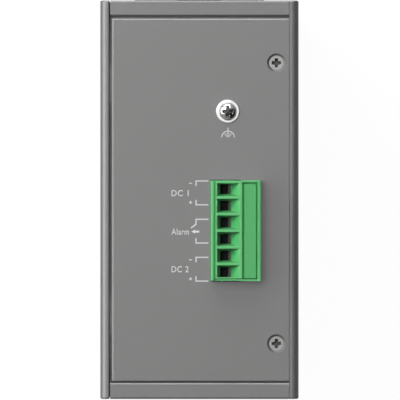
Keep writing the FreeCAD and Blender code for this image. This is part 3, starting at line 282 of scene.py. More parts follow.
def effectGroup(name, inputs, outputs):
    group = bpy.data.node_groups.new(name, "ShaderNodeTree")
    for label, kind, value in inputs:
        socket = group.interface.new_socket(name=label, in_out="INPUT", socket_type="NodeSocket" + kind)
        socket.default_value = value
    for label, kind in outputs:
        group.interface.new_socket(name=label, in_out="OUTPUT", socket_type="NodeSocket" + kind)
    return group, addNode(group, "NodeGroupInput").outputs, addNode(group, "NodeGroupOutput").inputs


def makeGrain():
    # swing = mean of a fine and a slow noise - 0.5; colour x (1 + variation x swing), roughness + spread x
    # swing, and the fine noise as the height
    group, given, result = effectGroup(
        "surfaceGrain",
        [("Color", "Color", (0.5, 0.5, 0.5, 1)), ("Roughness", "Float", 0.5),
         ("Variation", "Float", 0.05), ("Roughness Spread", "Float", 0.05),
         ("Grain Scale", "Float", 2500.0), ("Cloud Scale", "Float", 45.0)],
        [("Color", "Color"), ("Roughness", "Float"), ("Height", "Float")])
    point = objectPoint(group)
    fine = noise(group, point, given["Grain Scale"], *surface["fineNoise"])
    cloud = noise(group, point, given["Cloud Scale"], *surface["cloudNoise"])
    halves = [mathNode(group, "MULTIPLY", part, 0.5) for part in (fine, cloud)]
    swing = mathNode(group, "SUBTRACT", mathNode(group, "ADD", *halves), 0.5)
    brightness = mathNode(group, "ADD", mathNode(group, "MULTIPLY", swing, given["Variation"]), 1.0)
    grey = addNode(group, "ShaderNodeCombineColor", {0: brightness, 1: brightness, 2: brightness}).outputs[0]
    spread = mathNode(group, "MULTIPLY", swing, given["Roughness Spread"])
    group.links.new(mixColour(group, 1.0, given["Color"], grey, "MULTIPLY"), result["Color"])
    group.links.new(mathNode(group, "ADD", given["Roughness"], spread), result["Roughness"])
    group.links.new(fine, result["Height"])
    return group


def makeWear():
    # mask = how far the softened normal leans from the face normal, x patches of noise, x amount
    group, given, result = effectGroup(
        "edgeRub", [("Amount", "Float", 0.5), ("Break Up", "Float", 600.0)], [("Mask", "Float")])
    bevel = addNode(group, "ShaderNodeBevel", {"Radius": surface["rubRadius"]}, samples=surface["rubSamples"])
    soft = bevel.outputs[0]
    normal = addNode(group, "ShaderNodeNewGeometry").outputs["Normal"]
    cosine = vectorNode(group, "DOT_PRODUCT", soft, normal)["Value"]
    edge = mapRange(group, cosine, 1.0, surface["rubLean"], 0.0, 1.0)
    patches = noise(group, objectPoint(group), given["Break Up"], *surface["rubNoise"])
    broken = mapRange(group, patches, *surface["rubPatches"], 0.0, 1.0)
    mask = mathNode(group, "MULTIPLY", mathNode(group, "MULTIPLY", edge, broken), given["Amount"], True)
    group.links.new(mask, result["Mask"])
    return group


def makeStreaks():
    # two noises stretched along the rolling direction: a fine one for the height, a slower one for the tone
    group, given, result = effectGroup(
        "rolledStreaks", [("Stretch", "Vector", (1, 1, 1)), ("Scale", "Float", 900.0)],
        [("Tone", "Float"), ("Height", "Float")])
    point = addNode(group, "ShaderNodeTexCoord").outputs["Object"]
    stretched = vectorNode(group, "MULTIPLY", point, given["Stretch"])[0]
    slower = mathNode(group, "MULTIPLY", given["Scale"], surface["toneSlower"])
    group.links.new(noise(group, stretched, given["Scale"], *surface["streakNoise"]), result["Height"])
    group.links.new(noise(group, stretched, slower), result["Tone"])
    return group


grainGroup = makeGrain()
wearGroup = makeWear()
streakGroup = makeStreaks()


# Finishes of paint, plastic and other plain surfaces; cast is the colour that a finish shows its neighbours

finishes = {
    "greyPaint": {"color": (0.184, 0.184, 0.182), "metallic": 0.25, "roughness": 0.42, "variation": 0.10,
                  "spread": 0.10, "grain": 2600, "cloud": 40, "bump": 0.05, "worn": (0.36, 0.36, 0.35),
                  "wear": 0.10},
    "greenMoulding": {"color": (0.100, 0.610, 0.176), "cast": (0.15, 0.19, 0.155), "roughness": 0.42,
                      "variation": 0.08, "spread": 0.10, "grain": 3800, "cloud": 90, "bump": 0.03,
                      "worn": (0.20, 0.60, 0.26), "wear": 0.12},
    "blackMoulding": {"color": (0.018, 0.018, 0.019), "roughness": 0.45, "variation": 0.25, "spread": 0.12,
                      "grain": 3200, "cloud": 80, "bump": 0.05, "worn": (0.06, 0.06, 0.06), "wear": 0.25},
    "relayMoulding": {"color": (0.60, 0.60, 0.57), "roughness": 0.35, "variation": 0.06, "spread": 0.1,
                      "grain": 2500, "cloud": 70, "bump": 0.02, "worn": (0.7, 0.7, 0.68), "wear": 0.1},
    "thermalPad": {"color": (0.35, 0.42, 0.48), "roughness": 0.8, "variation": 0.15, "spread": 0.1,
                   "grain": 1500, "cloud": 200, "bump": 0.15, "worn": (0.4, 0.46, 0.5), "wear": 0.0},
    "ferrite": {"color": (0.035, 0.034, 0.034), "roughness": 0.6, "variation": 0.3, "spread": 0.1,
                "grain": 2200, "cloud": 160, "bump": 0.12, "worn": (0.09, 0.09, 0.09), "wear": 0.3},
    "solderMask": {"color": (0.012, 0.115, 0.040), "roughness": 0.28, "variation": 0.25, "spread": 0.1,
                   "grain": 1600, "cloud": 120, "bump": 0.03, "worn": (0.25, 0.22, 0.12), "wear": 0.15},
    "lampResin": {"color": (0.72, 0.70, 0.55), "roughness": 0.3, "variation": 0.05, "spread": 0.05,
                  "grain": 2500, "cloud": 120, "bump": 0.02, "worn": (0.8, 0.8, 0.7), "wear": 0.0},
    # the moulding green darkened, as painted shade on the plug's ledge, groove floor and marker strip
    "greenPaintedShade": {"color": (0.063, 0.490, 0.128), "roughness": 0.44, "variation": 0.08, "spread": 0.10,
                    "grain": 3800, "cloud": 90, "bump": 0.06, "worn": (0.16, 0.5, 0.22), "wear": 0.12},
    # near black, as painted shade deep in the plug's wire entries and front seam
    "paintedDeepShade": {"color": (0.004, 0.010, 0.005), "roughness": 0.7, "variation": 0.2, "spread": 0.1,
                   "grain": 3000, "cloud": 90, "bump": 0.03, "worn": (0.01, 0.02, 0.01), "wear": 0.0},
    "brightInk": {"color": (0.86, 0.86, 0.85), "roughness": 0.5, "variation": 0.06, "spread": 0.1,
                  "grain": 3000, "cloud": 150, "bump": 0.03, "worn": (0.7, 0.7, 0.7), "wear": 0.0},
    "panelInk": {"color": (0.70, 0.70, 0.695), "roughness": 0.55, "variation": 0.10, "spread": 0.1,
                 "grain": 3000, "cloud": 150, "bump": 0.03, "worn": (0.4, 0.4, 0.4), "wear": 0.0},
}

# Bare metals, with a second tint and the stretch of their rolling marks

metals = {
    "dullZinc": {"color": (0.27, 0.27, 0.265), "tint": (0.20, 0.20, 0.197), "roughness": 0.42,
                 "stretch": (1, 1, 1), "scale": 1500, "bump": 0.05},
    "brightNickel": {"color": (0.72, 0.72, 0.71), "tint": (0.62, 0.62, 0.61), "roughness": 0.2,
                     "stretch": (1, 1, 1), "scale": 1200, "bump": 0.02},
    "washerNickel": {"color": (0.55, 0.55, 0.545), "tint": (0.49, 0.49, 0.485), "roughness": 0.30,
                     "stretch": (1, 1, 1), "scale": 1200, "bump": 0.02},
    "plainSteel": {"color": (0.52, 0.51, 0.50), "tint": (0.42, 0.41, 0.40), "roughness": 0.36,
                   "stretch": (1, 1, 0.15), "scale": 1800, "bump": 0.05},
    "tinPlate": {"color": (0.46, 0.46, 0.45), "tint": (0.36, 0.36, 0.35), "roughness": 0.35,
                 "stretch": (0.2, 1, 1), "scale": 1600, "bump": 0.04},
    "clampZinc": {"color": (0.58, 0.58, 0.56), "tint": (0.46, 0.46, 0.44), "roughness": 0.3,
                  "stretch": (1, 1, 1), "scale": 1500, "bump": 0.04},
    "goldFlash": {"color": (0.84, 0.62, 0.26), "tint": (0.72, 0.50, 0.19), "roughness": 0.25,
                  "stretch": (1, 0.2, 1), "scale": 1500, "bump": 0.02},
    "recessShade": {"color": (0.085, 0.085, 0.084), "tint": (0.050, 0.050, 0.050), "roughness": 0.45,
                    "stretch": (1, 1, 1), "scale": 1500, "bump": 0.03},
    "shadedTin": {"color": (0.085, 0.082, 0.082), "tint": (0.06, 0.058, 0.058), "roughness": 0.5,
                  "stretch": (1, 0.2, 1), "scale": 1500, "bump": 0.03},
    "springSteel": {"color": (0.60, 0.60, 0.59), "tint": (0.50, 0.50, 0.49), "roughness": 0.3,
                    "stretch": (0.12, 1, 1), "scale": 1400, "bump": 0.02},
    "anodised": {"color": (0.62, 0.62, 0.63), "tint": (0.54, 0.54, 0.55), "roughness": 0.45,
                 "stretch": (1, 1, 0.1), "scale": 1700, "bump": 0.06},
}

slotMaterial = {
    "grey_paint": "greyPaint", "dull_zinc": "dullZinc", "bright_nickel": "brightNickel",
    "plain_steel": "plainSteel", "green_moulding": "greenMoulding", "tinned_metal": "tinPlate",
    "clamp_zinc": "clampZinc", "board_laminate": "solderMask", "black_moulding": "blackMoulding",
    "gold_contact": "goldFlash", "shield_steel": "springSteel", "clear_moulding": "clearMoulding",
    "lamp_body": "lampResin", "thermal_pad": "thermalPad", "sink_aluminium": "anodised",
    "dark_ferrite": "ferrite", "relay_case": "relayMoulding",
}


clearLook = {
    "tints": ((0.86, 0.89, 0.90, 1), (0.93, 0.95, 0.95, 1)),
    "tintCloud": 90.0,
    "roughness": (0.12, 0.22),
    "roughnessCloud": 400.0,
    "transmission": 0.45,
    "index": 1.49,
}


def principled(tree, colour, rough, height, bump, depth, metallic):
    # one Principled shader, with the height as its bump
    normal = addNode(tree, "ShaderNodeBump", {"Height": height, "Strength": bump, "Distance": depth})
    shader = addNode(tree, "ShaderNodeBsdfPrincipled", {"Base Color": colour, "Roughness": rough,
                                                        "Metallic": metallic, "Normal": normal.outputs[0]})
    addNode(tree, "ShaderNodeOutputMaterial", {"Surface": shader.outputs[0]})


def paintedFinish(name, look):
    material = bpy.data.materials.new(name)
    tree = nodeTree(material)
    values = {"Color": (*look["color"], 1), "Roughness": look["roughness"], "Variation": look["variation"],
              "Roughness Spread": look["spread"], "Grain Scale": look["grain"], "Cloud Scale": look["cloud"]}
    grain = addNode(tree, "ShaderNodeGroup", values, node_tree=grainGroup).outputs
    colour = grain["Color"]
    if look["wear"]:
        wear = addNode(tree, "ShaderNodeGroup", {"Amount": look["wear"]}, node_tree=wearGroup)
        colour = mixColour(tree, wear.outputs["Mask"], colour, (*look["worn"], 1))
    if "cast" in look:
        # the light it throws on its neighbours is greyer than the plastic itself
        rays = addNode(tree, "ShaderNodeLightPath").outputs
        bounced = mathNode(tree, "ADD", rays["Is Diffuse Ray"], rays["Is Glossy Ray"], True)
        colour = mixColour(tree, bounced, colour, (*look["cast"], 1))
    principled(tree, colour, grain["Roughness"], grain["Height"], look["bump"], surface["paintBump"],
               look.get("metallic", 0.0))
    return material


def metalFinish(name, look):
    material = bpy.data.materials.new(name)
    tree = nodeTree(material)
    values = {"Stretch": look["stretch"], "Scale": look["scale"]}
    streaks = addNode(tree, "ShaderNodeGroup", values, node_tree=streakGroup).outputs
    colour = mixColour(tree, streaks["Tone"], (*look["tint"], 1), (*look["color"], 1))
    rough = mapRange(tree, streaks["Tone"], *surface["noiseRange"],
                     *(look["roughness"] + step for step in surface["metalRoughness"]))
    principled(tree, colour, rough, streaks["Height"], look["bump"], surface["metalBump"], 1.0)
    return material


def clearFinish(name):
    # milky clear plastic, with roughness and tint that follow slow noises
    material = bpy.data.materials.new(name)
    tree = nodeTree(material)
    slow = noise(tree, objectPoint(tree), clearLook["roughnessCloud"])
    rough = mapRange(tree, slow, *surface["noiseRange"], *clearLook["roughness"])
    tint = mixColour(tree, noise(tree, objectPoint(tree), clearLook["tintCloud"]), *clearLook["tints"])
    inputs = {"Base Color": tint, "Roughness": rough, "IOR": clearLook["index"],
              "Transmission Weight": clearLook["transmission"]}
    shader = addNode(tree, "ShaderNodeBsdfPrincipled", inputs)
    addNode(tree, "ShaderNodeOutputMaterial", {"Surface": shader.outputs[0]})
    return material


materials = {name: paintedFinish(name, look) for name, look in finishes.items()}
materials.update({name: metalFinish(name, look) for name, look in metals.items()})
materials["clearMoulding"] = clearFinish("clearMoulding")
for part, node in cadNodes.items():
    node.data.materials.clear()
    node.data.materials.append(materials[slotMaterial[nodeSlot[part]]])
print("finishes ready,", len(materials))


# New pieces

def finishPiece(name, mesh, body, slot=None, material=None, stands=()):
    piece = bpy.data.objects.new(name, mesh)
    scene.collection.objects.link(piece)
    mesh.materials.append(materials[material or slotMaterial[slot]])
    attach(piece, body)
    if stands:
        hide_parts(*stands)
    return piece


def replacePart(name, mesh, part):
    # a finer mesh in a part's place, on its body and in its slot
    return finishPiece(name, mesh, nodeBody[part], slot=nodeSlot[part], stands=[part])


def plainMesh(name, points, faces):
    mesh = bpy.data.meshes.new(name)
    mesh.from_pydata(points.tolist(), [], faces)
    return mesh


def ringWalls(count):
    # quads from a ring of points to the next ring
    first = np.arange(count)
    following = np.roll(first, -1)
    return np.column_stack([first, following, following + count, first + count])


# Moulded and folded parts: a welded copy of the part, its flat areas made whole and its edges eased

easing = {
    "weld": 0.0005 * mm,
    "flatWithin": math.radians(0.5),
    "smoothBelow": math.radians(32),
    "bevelAbove": math.radians(40),
    "segments": 2,
}


def faceRows(mesh, attribute):
    values = np.empty(len(mesh.polygons) * 3, np.float32)
    mesh.polygons.foreach_get(attribute, values)
    return values.reshape(-1, 3).T


def easedMesh(part, regions=None):
    # regions(middles, normals) gives each face's material number
    bm = bmesh.new()
    bm.from_mesh(cadNodes[part].data)
    bmesh.ops.remove_doubles(bm, verts=bm.verts, dist=easing["weld"])
    bmesh.ops.dissolve_limit(bm, angle_limit=easing["flatWithin"], verts=bm.verts, edges=bm.edges)
    mesh = bpy.data.meshes.new(part + "Eased")
    bm.to_mesh(mesh)
    bm.free()
    count = len(mesh.polygons)
    chosen = regions(faceRows(mesh, "center"), faceRows(mesh, "normal")) if regions else np.zeros(count)
    mesh.polygons.foreach_set("material_index", chosen.astype(np.int32))
    mesh.polygons.foreach_set("use_smooth", np.ones(count, bool))
    mesh.set_sharp_from_angle(angle=easing["smoothBelow"])
    return mesh


def easeEdges(piece, width):
    bevel = piece.modifiers.new("easedEdges", "BEVEL")
    bevel.width = width
    bevel.segments = easing["segments"]
    bevel.limit_method = "ANGLE"
    bevel.angle_limit = easing["bevelAbove"]
    bevel.use_clamp_overlap = True
    bevel.harden_normals = True


# Terminal: the moulded plug, with painted shade deep in its wire entries and front seam and on its ledge and
# groove floor, and the marker strip in the groove

terminal = {
    "edge": 0.07 * mm,
    "entrySpan": (4.8 * mm, 14.2 * mm),
    "entryShadeFrom": 3.35 * mm,               # depth below the top from which an entry is painted near black as shade
    "entryFoot": 0.3 * mm,                # height over the case at which the painted shade ends
    "endWall": 0.7 * mm,
    "grooveDepth": 1.0 * mm,
    "grooveEdge": 12.85 * mm,
    "ledgeDepth": 0.35 * mm,
    "within": 0.1 * mm,
    "levelFrom": 0.9,                     # upward share of a level face's normal
    "sidewaysBelow": 0.5,                 # x share of the normal of a face in the seam
    "seamDepths": (0.3 * mm, 1.4 * mm),
    "seamInset": (0.35 * mm, 1.2 * mm),   # from the front end
    "stripLow": (13.42 * mm, -23.72 * mm),
    "stripHigh": (17.12 * mm, 4.82 * mm),
    "stripHeight": 0.55 * mm,
    "stripChamfer": 0.12 * mm,
}


def terminalRegions(middles, normals):
    # 1, a darker green as painted shade, on the ledge and the groove's floor; 2, near-black painted shade,
    # deep in the wire entries and in the front seam; else 0
    x, y, z = middles
    depth, fromFront, fromRear = plugHigh.z - z, y - plugLow.y, plugHigh.y - y
    left, right = terminal["entrySpan"]
    groove = (np.abs(depth - terminal["grooveDepth"]) < terminal["within"]) & (x > terminal["grooveEdge"])
    ledge = np.abs(depth - terminal["ledgeDepth"]) < terminal["within"]
    # level faces of the groove floor and the ledge, which take the darker green of painted shade
    paintedShadeLevel = (normals[2] > terminal["levelFrom"]) & (groove | ledge)
    # faces this deep in the entries are painted near black, as shade
    deep = (depth > terminal["entryShadeFrom"]) & (z > caseTop + terminal["entryFoot"])
    inner = (fromFront > terminal["endWall"]) & (fromRear > terminal["endWall"])
    entry = deep & inner & (x > left) & (x < right)
    (top, bottom), (near, far) = terminal["seamDepths"], terminal["seamInset"]
    facing = (x > left) & (np.abs(normals[0]) < terminal["sidewaysBelow"])
    seam = (depth > top) & (depth < bottom) & (fromFront > near) & (fromFront < far) & facing
    return np.where(entry | seam, 2, np.where(paintedShadeLevel, 1, 0))


def bevelledSlab(name, low, high, bottom, height, chamfer):
    # three rectangles joined by walls: foot, shoulder, and a top drawn in by the chamfer
    low, high = np.array(low), np.array(high)
    signs = np.array([(-1, -1), (1, -1), (1, 1), (-1, 1)])
    steps = ((0, bottom), (0, bottom + height - chamfer), (chamfer, bottom + height))
    rings = [np.column_stack([(low + high) / 2 + signs * ((high - low) / 2 - inset), np.full(4, z)])
             for inset, z in steps]
    walls = ringWalls(4)
    ends = [[3, 2, 1, 0], [8, 9, 10, 11]]
    return plainMesh(name, np.vstack(rings), ends + walls.tolist() + (walls + 4).tolist())


terminalPiece = replacePart("terminalBody", easedMesh("plug_housing", terminalRegions), "plug_housing")
# slots 1 and 2 take the two painted-shade greens
for name in ("greenPaintedShade", "paintedDeepShade"):
    terminalPiece.data.materials.append(materials[name])
easeEdges(terminalPiece, terminal["edge"])
stripFoot = plugHigh.z - terminal["grooveDepth"]
stripMesh = bevelledSlab("markerStrip", terminal["stripLow"], terminal["stripHigh"], stripFoot,
                         terminal["stripHeight"], terminal["stripChamfer"])
# the marker strip takes the darker green of painted shade
finishPiece("markerStrip", stripMesh, nodeBody["plug_housing"], material="greenPaintedShade")
cadNodes["plug_contacts"].data.materials[0] = materials["shadedTin"]
print("terminal ready")


# Other eased parts, each with an edge as wide as its own

easedParts = {
    "rail_bracket": 0.14 * mm,
    "rail_latch": 0.16 * mm,
    "port_shield": 0.05 * mm,
    "port_housing": 0.10 * mm,
    "module_cage_lower": 0.05 * mm,
    "module_cage_upper": 0.05 * mm,
    "earth_washer": 0.04 * mm,
}
for part, width in easedParts.items():
    piece = replacePart(part + "Eased", easedMesh(part), part)
    easeEdges(piece, width)
    if part == "earth_washer":
        piece.data.materials[0] = materials["washerNickel"]
print("eased parts ready,", len(easedParts))


# Latch spring: an eased copy of the strip, given a mesh of its own

spring = replacePart("latchSpringStrip", easedMesh("latch_spring"), "latch_spring")
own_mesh(spring)
print("spring ready")


# Screws: a polar grid over the head with the cross recess sunk in it, then the underside, shank and point

screws = {
    "segments": 72,
    "topRings": 30,
    "recessWall": 0.14 * mm,
    "recessRamp": 0.45 * mm,
    "darkFrom": 0.35,                     # share of the recess's depth from which a face is dark
    "flatRim": 0.06 * mm,
    "domeRim": 0.1 * mm,
    "domeShoulder": 0.42,
    "domePower": 2.4,
    "point": (0.45, 0.6),                 # radius and length, as shares of the thread's radius
    "smoothBelow": math.radians(32),
}
screwKinds = {
    "top_panel_screws": {"axes": ("+z",), "head": 2.25, "thread": 1.25, "length": 7.0, "reach": 1.38,
                         "half": 0.40, "depth": 1.0, "dome": 0.0},
    "bottom_panel_screws": {"axes": ("-z",), "head": 2.25, "thread": 1.25, "length": 7.0, "reach": 1.38,
                            "half": 0.40, "depth": 1.0, "dome": 0.0},
    "side_cover_screws": {"axes": ("+x", "-x"), "head": 2.75, "thread": 1.5, "length": 8.0, "reach": 1.65,
                          "half": 0.45, "depth": 1.2, "dome": 0.0},
    "bracket_screws": {"axes": ("+y",), "head": 2.7, "thread": 1.5, "length": 5.5, "reach": 1.6,
                       "half": 0.45, "depth": 1.2, "dome": 0.0},
    "earth_screw": {"axes": ("+z",), "head": 2.65, "thread": 1.5, "length": 8.0, "reach": 1.75,
                    "half": 0.46, "depth": 1.1, "dome": 2.2},
}
screwFrames = {"+x": (1, 2, 0), "-x": (2, 1, 0), "+y": (2, 0, 1), "+z": (0, 1, 2), "-z": (1, 0, 2)}


def recessShare(x, y, look):
    # two crossed arms: full depth in the middle, a steep wall at each side and a ramp at each end
    def arm(along, across):
        side = np.clip((look["half"] * mm - np.abs(across)) / screws["recessWall"] + 0.5, 0, 1)
        end = np.clip((look["reach"] * mm - np.abs(along)) / screws["recessRamp"], 0, 1)
        return side * end
    return np.maximum(arm(x, y), arm(y, x))


def screwProfile(look):
    # radius and height; a domed head falls from its crown as t to the power 2.4, t being radius / rim
    head, thread, length, dome = (look[key] * mm for key in ("head", "thread", "length", "dome"))
    t = np.linspace(0, 1, screws["topRings"] + 1)[1:]
    radii, heights = t * head, np.zeros_like(t)
    if dome:
        shoulder = screws["domeShoulder"] * dome
        heights = shoulder + (dome - shoulder) * (1 - t ** screws["domePower"])
        rim = screws["domeRim"]
        tail = [(head, rim), (head - rim, 0), (thread, 0)]
    else:
        radii[-1] -= screws["flatRim"]
        tail = [(head, -screws["flatRim"]), (thread, thread - head)]
    pointRadius, pointLength = (share * thread for share in screws["point"])
    tail = np.array(tail + [(thread, -length + pointLength), (pointRadius, -length)])
    return np.concatenate([radii, tail[:, 0]]), np.concatenate([heights, tail[:, 1]])


def screwSurface(look):
    # the profile turned about the axis, the recess sunk in the head's rings; each face's share of its depth
    radii, heights = screwProfile(look)
    count, rings = screws["segments"], len(radii)
    angle = np.linspace(0, 2 * math.pi, count, endpoint=False)
    x, y = np.outer(radii, np.cos(angle)), np.outer(radii, np.sin(angle))
    sunk = recessShare(x, y, look)
    sunk[screws["topRings"]:] = 0
    z = heights[:, None] - sunk * look["depth"] * mm
    poles = [(0, 0, look["dome"] * mm - look["depth"] * mm), (0, 0, heights[-1])]
    points = np.vstack([np.stack([x, y, z], axis=2).reshape(-1, 3), poles])
    sunk = np.concatenate([sunk.ravel(), [1, 0]])
    across = np.arange(count)
    following = np.roll(across, -1)
    base = (np.arange(rings - 1) * count)[:, None]
    corners = [base + across, base + across + count, base + following + count, base + following]
    quads = np.stack(corners, axis=2).reshape(-1, 4)
    last = (rings - 1) * count
    crown = np.column_stack([np.full(count, rings * count), across, following])
    foot = np.column_stack([across + last, np.full(count, rings * count + 1), following + last])
    shares = np.concatenate([sunk[quads].mean(axis=1), sunk[crown].mean(axis=1), np.zeros(count)])
    return points, quads.tolist() + crown.tolist() + foot.tolist(), shares


def screwSet(part, look):
    # one screw at each corner of the part's box, for each direction that its heads face
    points, faces, shares = screwSurface(look)
    low, high = (np.array(corner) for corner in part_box(part))
    reach = look["head"] * mm
    allPoints, allFaces = [], []
    for axis in look["axes"]:
        u, v, along = screwFrames[axis]
        outward = 1 if axis[0] == "+" else -1
        level = (high if outward > 0 else low)[along] - outward * look["dome"] * mm
        places = {(round(a, 6), round(b, 6)) for a in (low[u] + reach, high[u] - reach)
                  for b in (low[v] + reach, high[v] - reach)}
        for a, b in sorted(places):
            turned = np.empty_like(points)
            turned[:, u] = points[:, 0] + a
            turned[:, v] = points[:, 1] + b
            turned[:, along] = points[:, 2] * outward + level
            offset = len(points) * len(allPoints)
            allPoints.append(turned)
            allFaces += [[index + offset for index in face] for face in faces]
    mesh = plainMesh(part + "Cut", np.vstack(allPoints), allFaces)
    mesh.polygons.foreach_set("use_smooth", np.ones(len(allFaces), bool))
    mesh.set_sharp_from_angle(angle=screws["smoothBelow"])
    replacePart(part + "Cut", mesh, part)
    mesh.materials.append(materials["recessShade"])
    dark = np.tile(shares > screws["darkFrom"], len(allPoints))
    mesh.polygons.foreach_set("material_index", dark.astype(np.int32))


for part, look in screwKinds.items():
    screwSet(part, look)
print("screws ready,", len(screwKinds))


# Printing on the top panel; places are measured left of the terminal and down from its rear end

printing = {
    "inkHeight": 0.02 * mm,
    "sunk": 0.01 * mm,
    "line": 0.40 * mm,
    "lineLeft": 4.49 * mm,
    "lineRight": 0.75 * mm,
    "lines": ((0.15, -1), (7.35, 1), (11.74, -1),      # drop in mm, and the way its tail turns
              (18.91, 1), (23.23, -1), (30.41, 1)),
    "tail": 1.5 * mm,
    "relayLine": 2,
    "blade": (1.55 * mm, 1.15 * mm),
    "signLeft": 6.13 * mm,
    "signArm": 0.48 * mm,
    "signHalf": 0.16 * mm,
    "signs": ((0.87, "minus"), (6.62, "plus"), (23.97, "minus"), (29.74, "plus")),
    "arrowDrop": 15.45 * mm,
    "arrowLeft": 5.92 * mm,
    "arrowRight": 3.51 * mm,
    "arrowHead": (1.15 * mm, 0.60 * mm),   # length and half width
    "arrowShaft": 0.30 * mm,
    "textLeft": 11.90 * mm,
    "textHeight": 1.85 * mm,
    "textResolution": 4,
    "textBold": 0.014,
    "letterGap": 1.10,
    "words": (("supplyWordsA", "DC 1", 4.72, 5.2), ("relayWords", "Alarm", 16.37, 5.3),
              ("supplyWordsB", "DC 2", 27.72, 5.2)),   # drop and width in mm
}

earthSign = {
    "right": 0.1 * mm,             # of the washer's middle
    "below": 4.29 * mm,            # its front edge
    "radius": 1.9 * mm,
    "half": 0.17 * mm,
    "stem": 2.89 * mm,
    "bars": ((1.01, 2.4), (0.55, 1.8), (0.19, 1.0)),   # height and width in mm
    "thin": 0.11 * mm,
    "gap": 0.01 * mm,
    "arcPoints": 41,
}


def inkPlate(outline):
    # a closed slab: the outline just under and just over the panel's face, and the walls between
    points = np.array(outline, float)
    after = np.roll(points, -1, axis=0)
    if np.sum(points[:, 0] * after[:, 1] - after[:, 0] * points[:, 1]) < 0:
        points = points[::-1]
    count = len(points)
    low = np.column_stack([points, np.full(count, caseTop - printing["sunk"])])
    high = np.column_stack([points, np.full(count, caseTop + printing["inkHeight"])])
    first = np.arange(count)
    ends = [first[::-1].tolist(), (first + count).tolist()]
    return np.vstack([low, high]), ends + ringWalls(count).tolist()


def inkMesh(name, outlines):
    points, faces, total = [], [], 0
    for corners, sides in map(inkPlate, outlines):
        points.append(corners)
        faces += [[index + total for index in side] for side in sides]
        total += len(corners)
    return plainMesh(name, np.vstack(points), faces)


def trace(points, width):
    # the outline of a line of that width through the points, each corner moved along its mitre
    points = np.array(points, float)
    steps = np.diff(points, axis=0)
    steps /= np.linalg.norm(steps, axis=1, keepdims=True)
    before = np.vstack([steps[:1], steps])
    after = np.vstack([steps, steps[-1:]])
    left = np.column_stack([-before[:, 1] - after[:, 1], before[:, 0] + after[:, 0]])
    left /= 1 + np.sum(before * after, axis=1)[:, None]
    return np.vstack([points + left * width / 2, (points - left * width / 2)[::-1]])


def terminalLines():
    # two lines for each supply and two for the relay, the first of which ends in its blade
    left, right = plugLow.x - printing["lineLeft"], plugLow.x - printing["lineRight"]
    lines = []
    for drop, way in printing["lines"]:
        y = plugHigh.y - drop * mm
        lines.append([(right, y), (left, y), (left, y + way * printing["tail"])])
    relay = lines[printing["relayLine"]]
    bladeAcross, bladeDown = printing["blade"]
    relay.append((left - bladeAcross, relay[-1][1] - bladeDown))
    return [trace(line, printing["line"]) for line in lines]


def signOutlines():
    # a plus is the three corners of its right arm, turned by a quarter three more times
    arm, half = printing["signArm"], printing["signHalf"]
    turn = np.array([(0, 1), (-1, 0)])
    quarter = np.array([(arm, -half), (arm, half), (half, half)])
    shapes = {"plus": np.vstack([quarter @ np.linalg.matrix_power(turn, times) for times in range(4)]),
              "minus": np.array([(-arm, -half), (arm, -half), (arm, half), (-arm, half)])}
    x = plugLow.x - printing["signLeft"]
    return [shapes[kind] + (x, plugHigh.y - drop * mm) for drop, kind in printing["signs"]]


def arrowOutline():
    # seven corners: the tip, one side of the head and shaft, and the same back on the other side
    y = plugHigh.y - printing["arrowDrop"]
    tip, tail = plugLow.x - printing["arrowLeft"], plugLow.x - printing["arrowRight"]
    length, head = printing["arrowHead"]
    neck, shaft = tip + length, printing["arrowShaft"]
    return np.array([(tip, y), (neck, y - head), (neck, y - shaft), (tail, y - shaft), (tail, y + shaft),
                     (neck, y + shaft), (neck, y + head)])


def earthOutlines():
    # a stem, a half ring round three bars that shorten downwards, and the stem again inside the ring
    washerLow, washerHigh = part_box("earth_washer")
    x = (washerLow.x + washerHigh.x) / 2 + earthSign["right"]
    base = washerLow.y - earthSign["below"]
    radius, half, thin, gap = (earthSign[key] for key in ("radius", "half", "thin", "gap"))
    angle = np.linspace(0, math.pi, earthSign["arcPoints"])
    circle = np.column_stack([np.cos(angle), np.sin(angle)])
    ring = np.vstack([circle * (radius + half), circle[::-1] * (radius - half)]) + (x, base)
    outlines = [ring, trace([(x, base + earthSign["stem"]), (x, base + radius + half + gap)], 2 * half)]
    for height, width in earthSign["bars"]:
        y, reach = base + height * mm, width / 2 * mm
        outlines.append(trace([(x - reach, y), (x + reach, y)], 2 * thin))
    top = base + earthSign["bars"][0][0] * mm + thin + gap
    outlines.append(trace([(x, base + radius - half - gap), (x, top)], 2 * half))
    return outlines


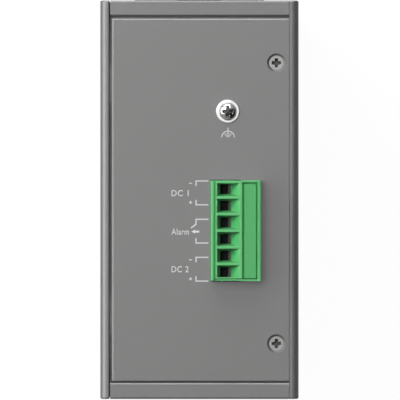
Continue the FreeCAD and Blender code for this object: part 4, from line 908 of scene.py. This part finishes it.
def textMesh(words, left, baseY, width):
    # letters of unit thickness, then scaled to the ink's thickness, the text's height and the given width
    curve = bpy.data.curves.new("words", "FONT")
    curve.body = words
    curve.resolution_u = printing["textResolution"]
    curve.extrude = 0.5
    curve.offset = printing["textBold"]
    curve.space_character = printing["letterGap"]
    writing = bpy.data.objects.new("words", curve)
    scene.collection.objects.link(writing)
    bpy.context.view_layer.update()
    mesh = bpy.data.meshes.new_from_object(writing)
    bpy.data.objects.remove(writing)
    places = np.empty(len(mesh.vertices) * 3, np.float32)
    mesh.vertices.foreach_get("co", places)
    across, up, through = places.reshape(-1, 3).T
    thick = printing["inkHeight"] + printing["sunk"]
    middle = caseTop + (printing["inkHeight"] - printing["sunk"]) / 2
    scale = printing["textHeight"] / up.max()
    across = (across - across.min()) / np.ptp(across) * width
    placed = np.column_stack([left + across, baseY + up * scale, middle + through * thick])
    mesh.vertices.foreach_set("co", placed.ravel())
    return mesh


marks = {"terminalMarks": (terminalLines() + signOutlines(), "panelInk"),
         "relayArrow": ([arrowOutline()], "brightInk"),
         "earthMark": (earthOutlines(), "panelInk")}
printedPieces = [*marks, *(name for name, words, drop, width in printing["words"])]
for name, (outlines, ink) in marks.items():
    finishPiece(name, inkMesh(name, outlines), "case", material=ink)
for name, words, drop, width in printing["words"]:
    mesh = textMesh(words, plugLow.x - printing["textLeft"], plugHigh.y - drop * mm, width * mm)
    finishPiece(name, mesh, "case", material="panelInk")
print("printing ready,", len(printedPieces))


# On the top panel the key light passes the terminal and the earth screw, whose shadows there come from the
# top lamp alone, short and soft; everything else is lit by the plain key lamp

def linked(name, objects, state):
    collection = bpy.data.collections.new(name)
    for entry in objects:
        collection.objects.link(entry)
    for entry in collection.collection_objects:
        entry.light_linking.link_state = state
    return collection


standing = [node for part, node in cadNodes.items()
            if nodeBody[part] not in ("case", "latch") or part.startswith("earth_")]
finer = ("terminalBody", "markerStrip", "earth_screwCut", "earth_washerEased")
standing += [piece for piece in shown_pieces() if piece.name in finer]
panelTop = [cadNodes["top_panel"]] + [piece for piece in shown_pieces() if piece.name in printedPieces]
lidKeyLamp.light_linking.blocker_collection = linked("lidBlockers", standing, "EXCLUDE")
lidKeyLamp.light_linking.receiver_collection = linked("lidSurfaces", panelTop, "INCLUDE")
keyLamp.light_linking.receiver_collection = linked("otherSurfaces", panelTop, "EXCLUDE")
print("lamps linked")
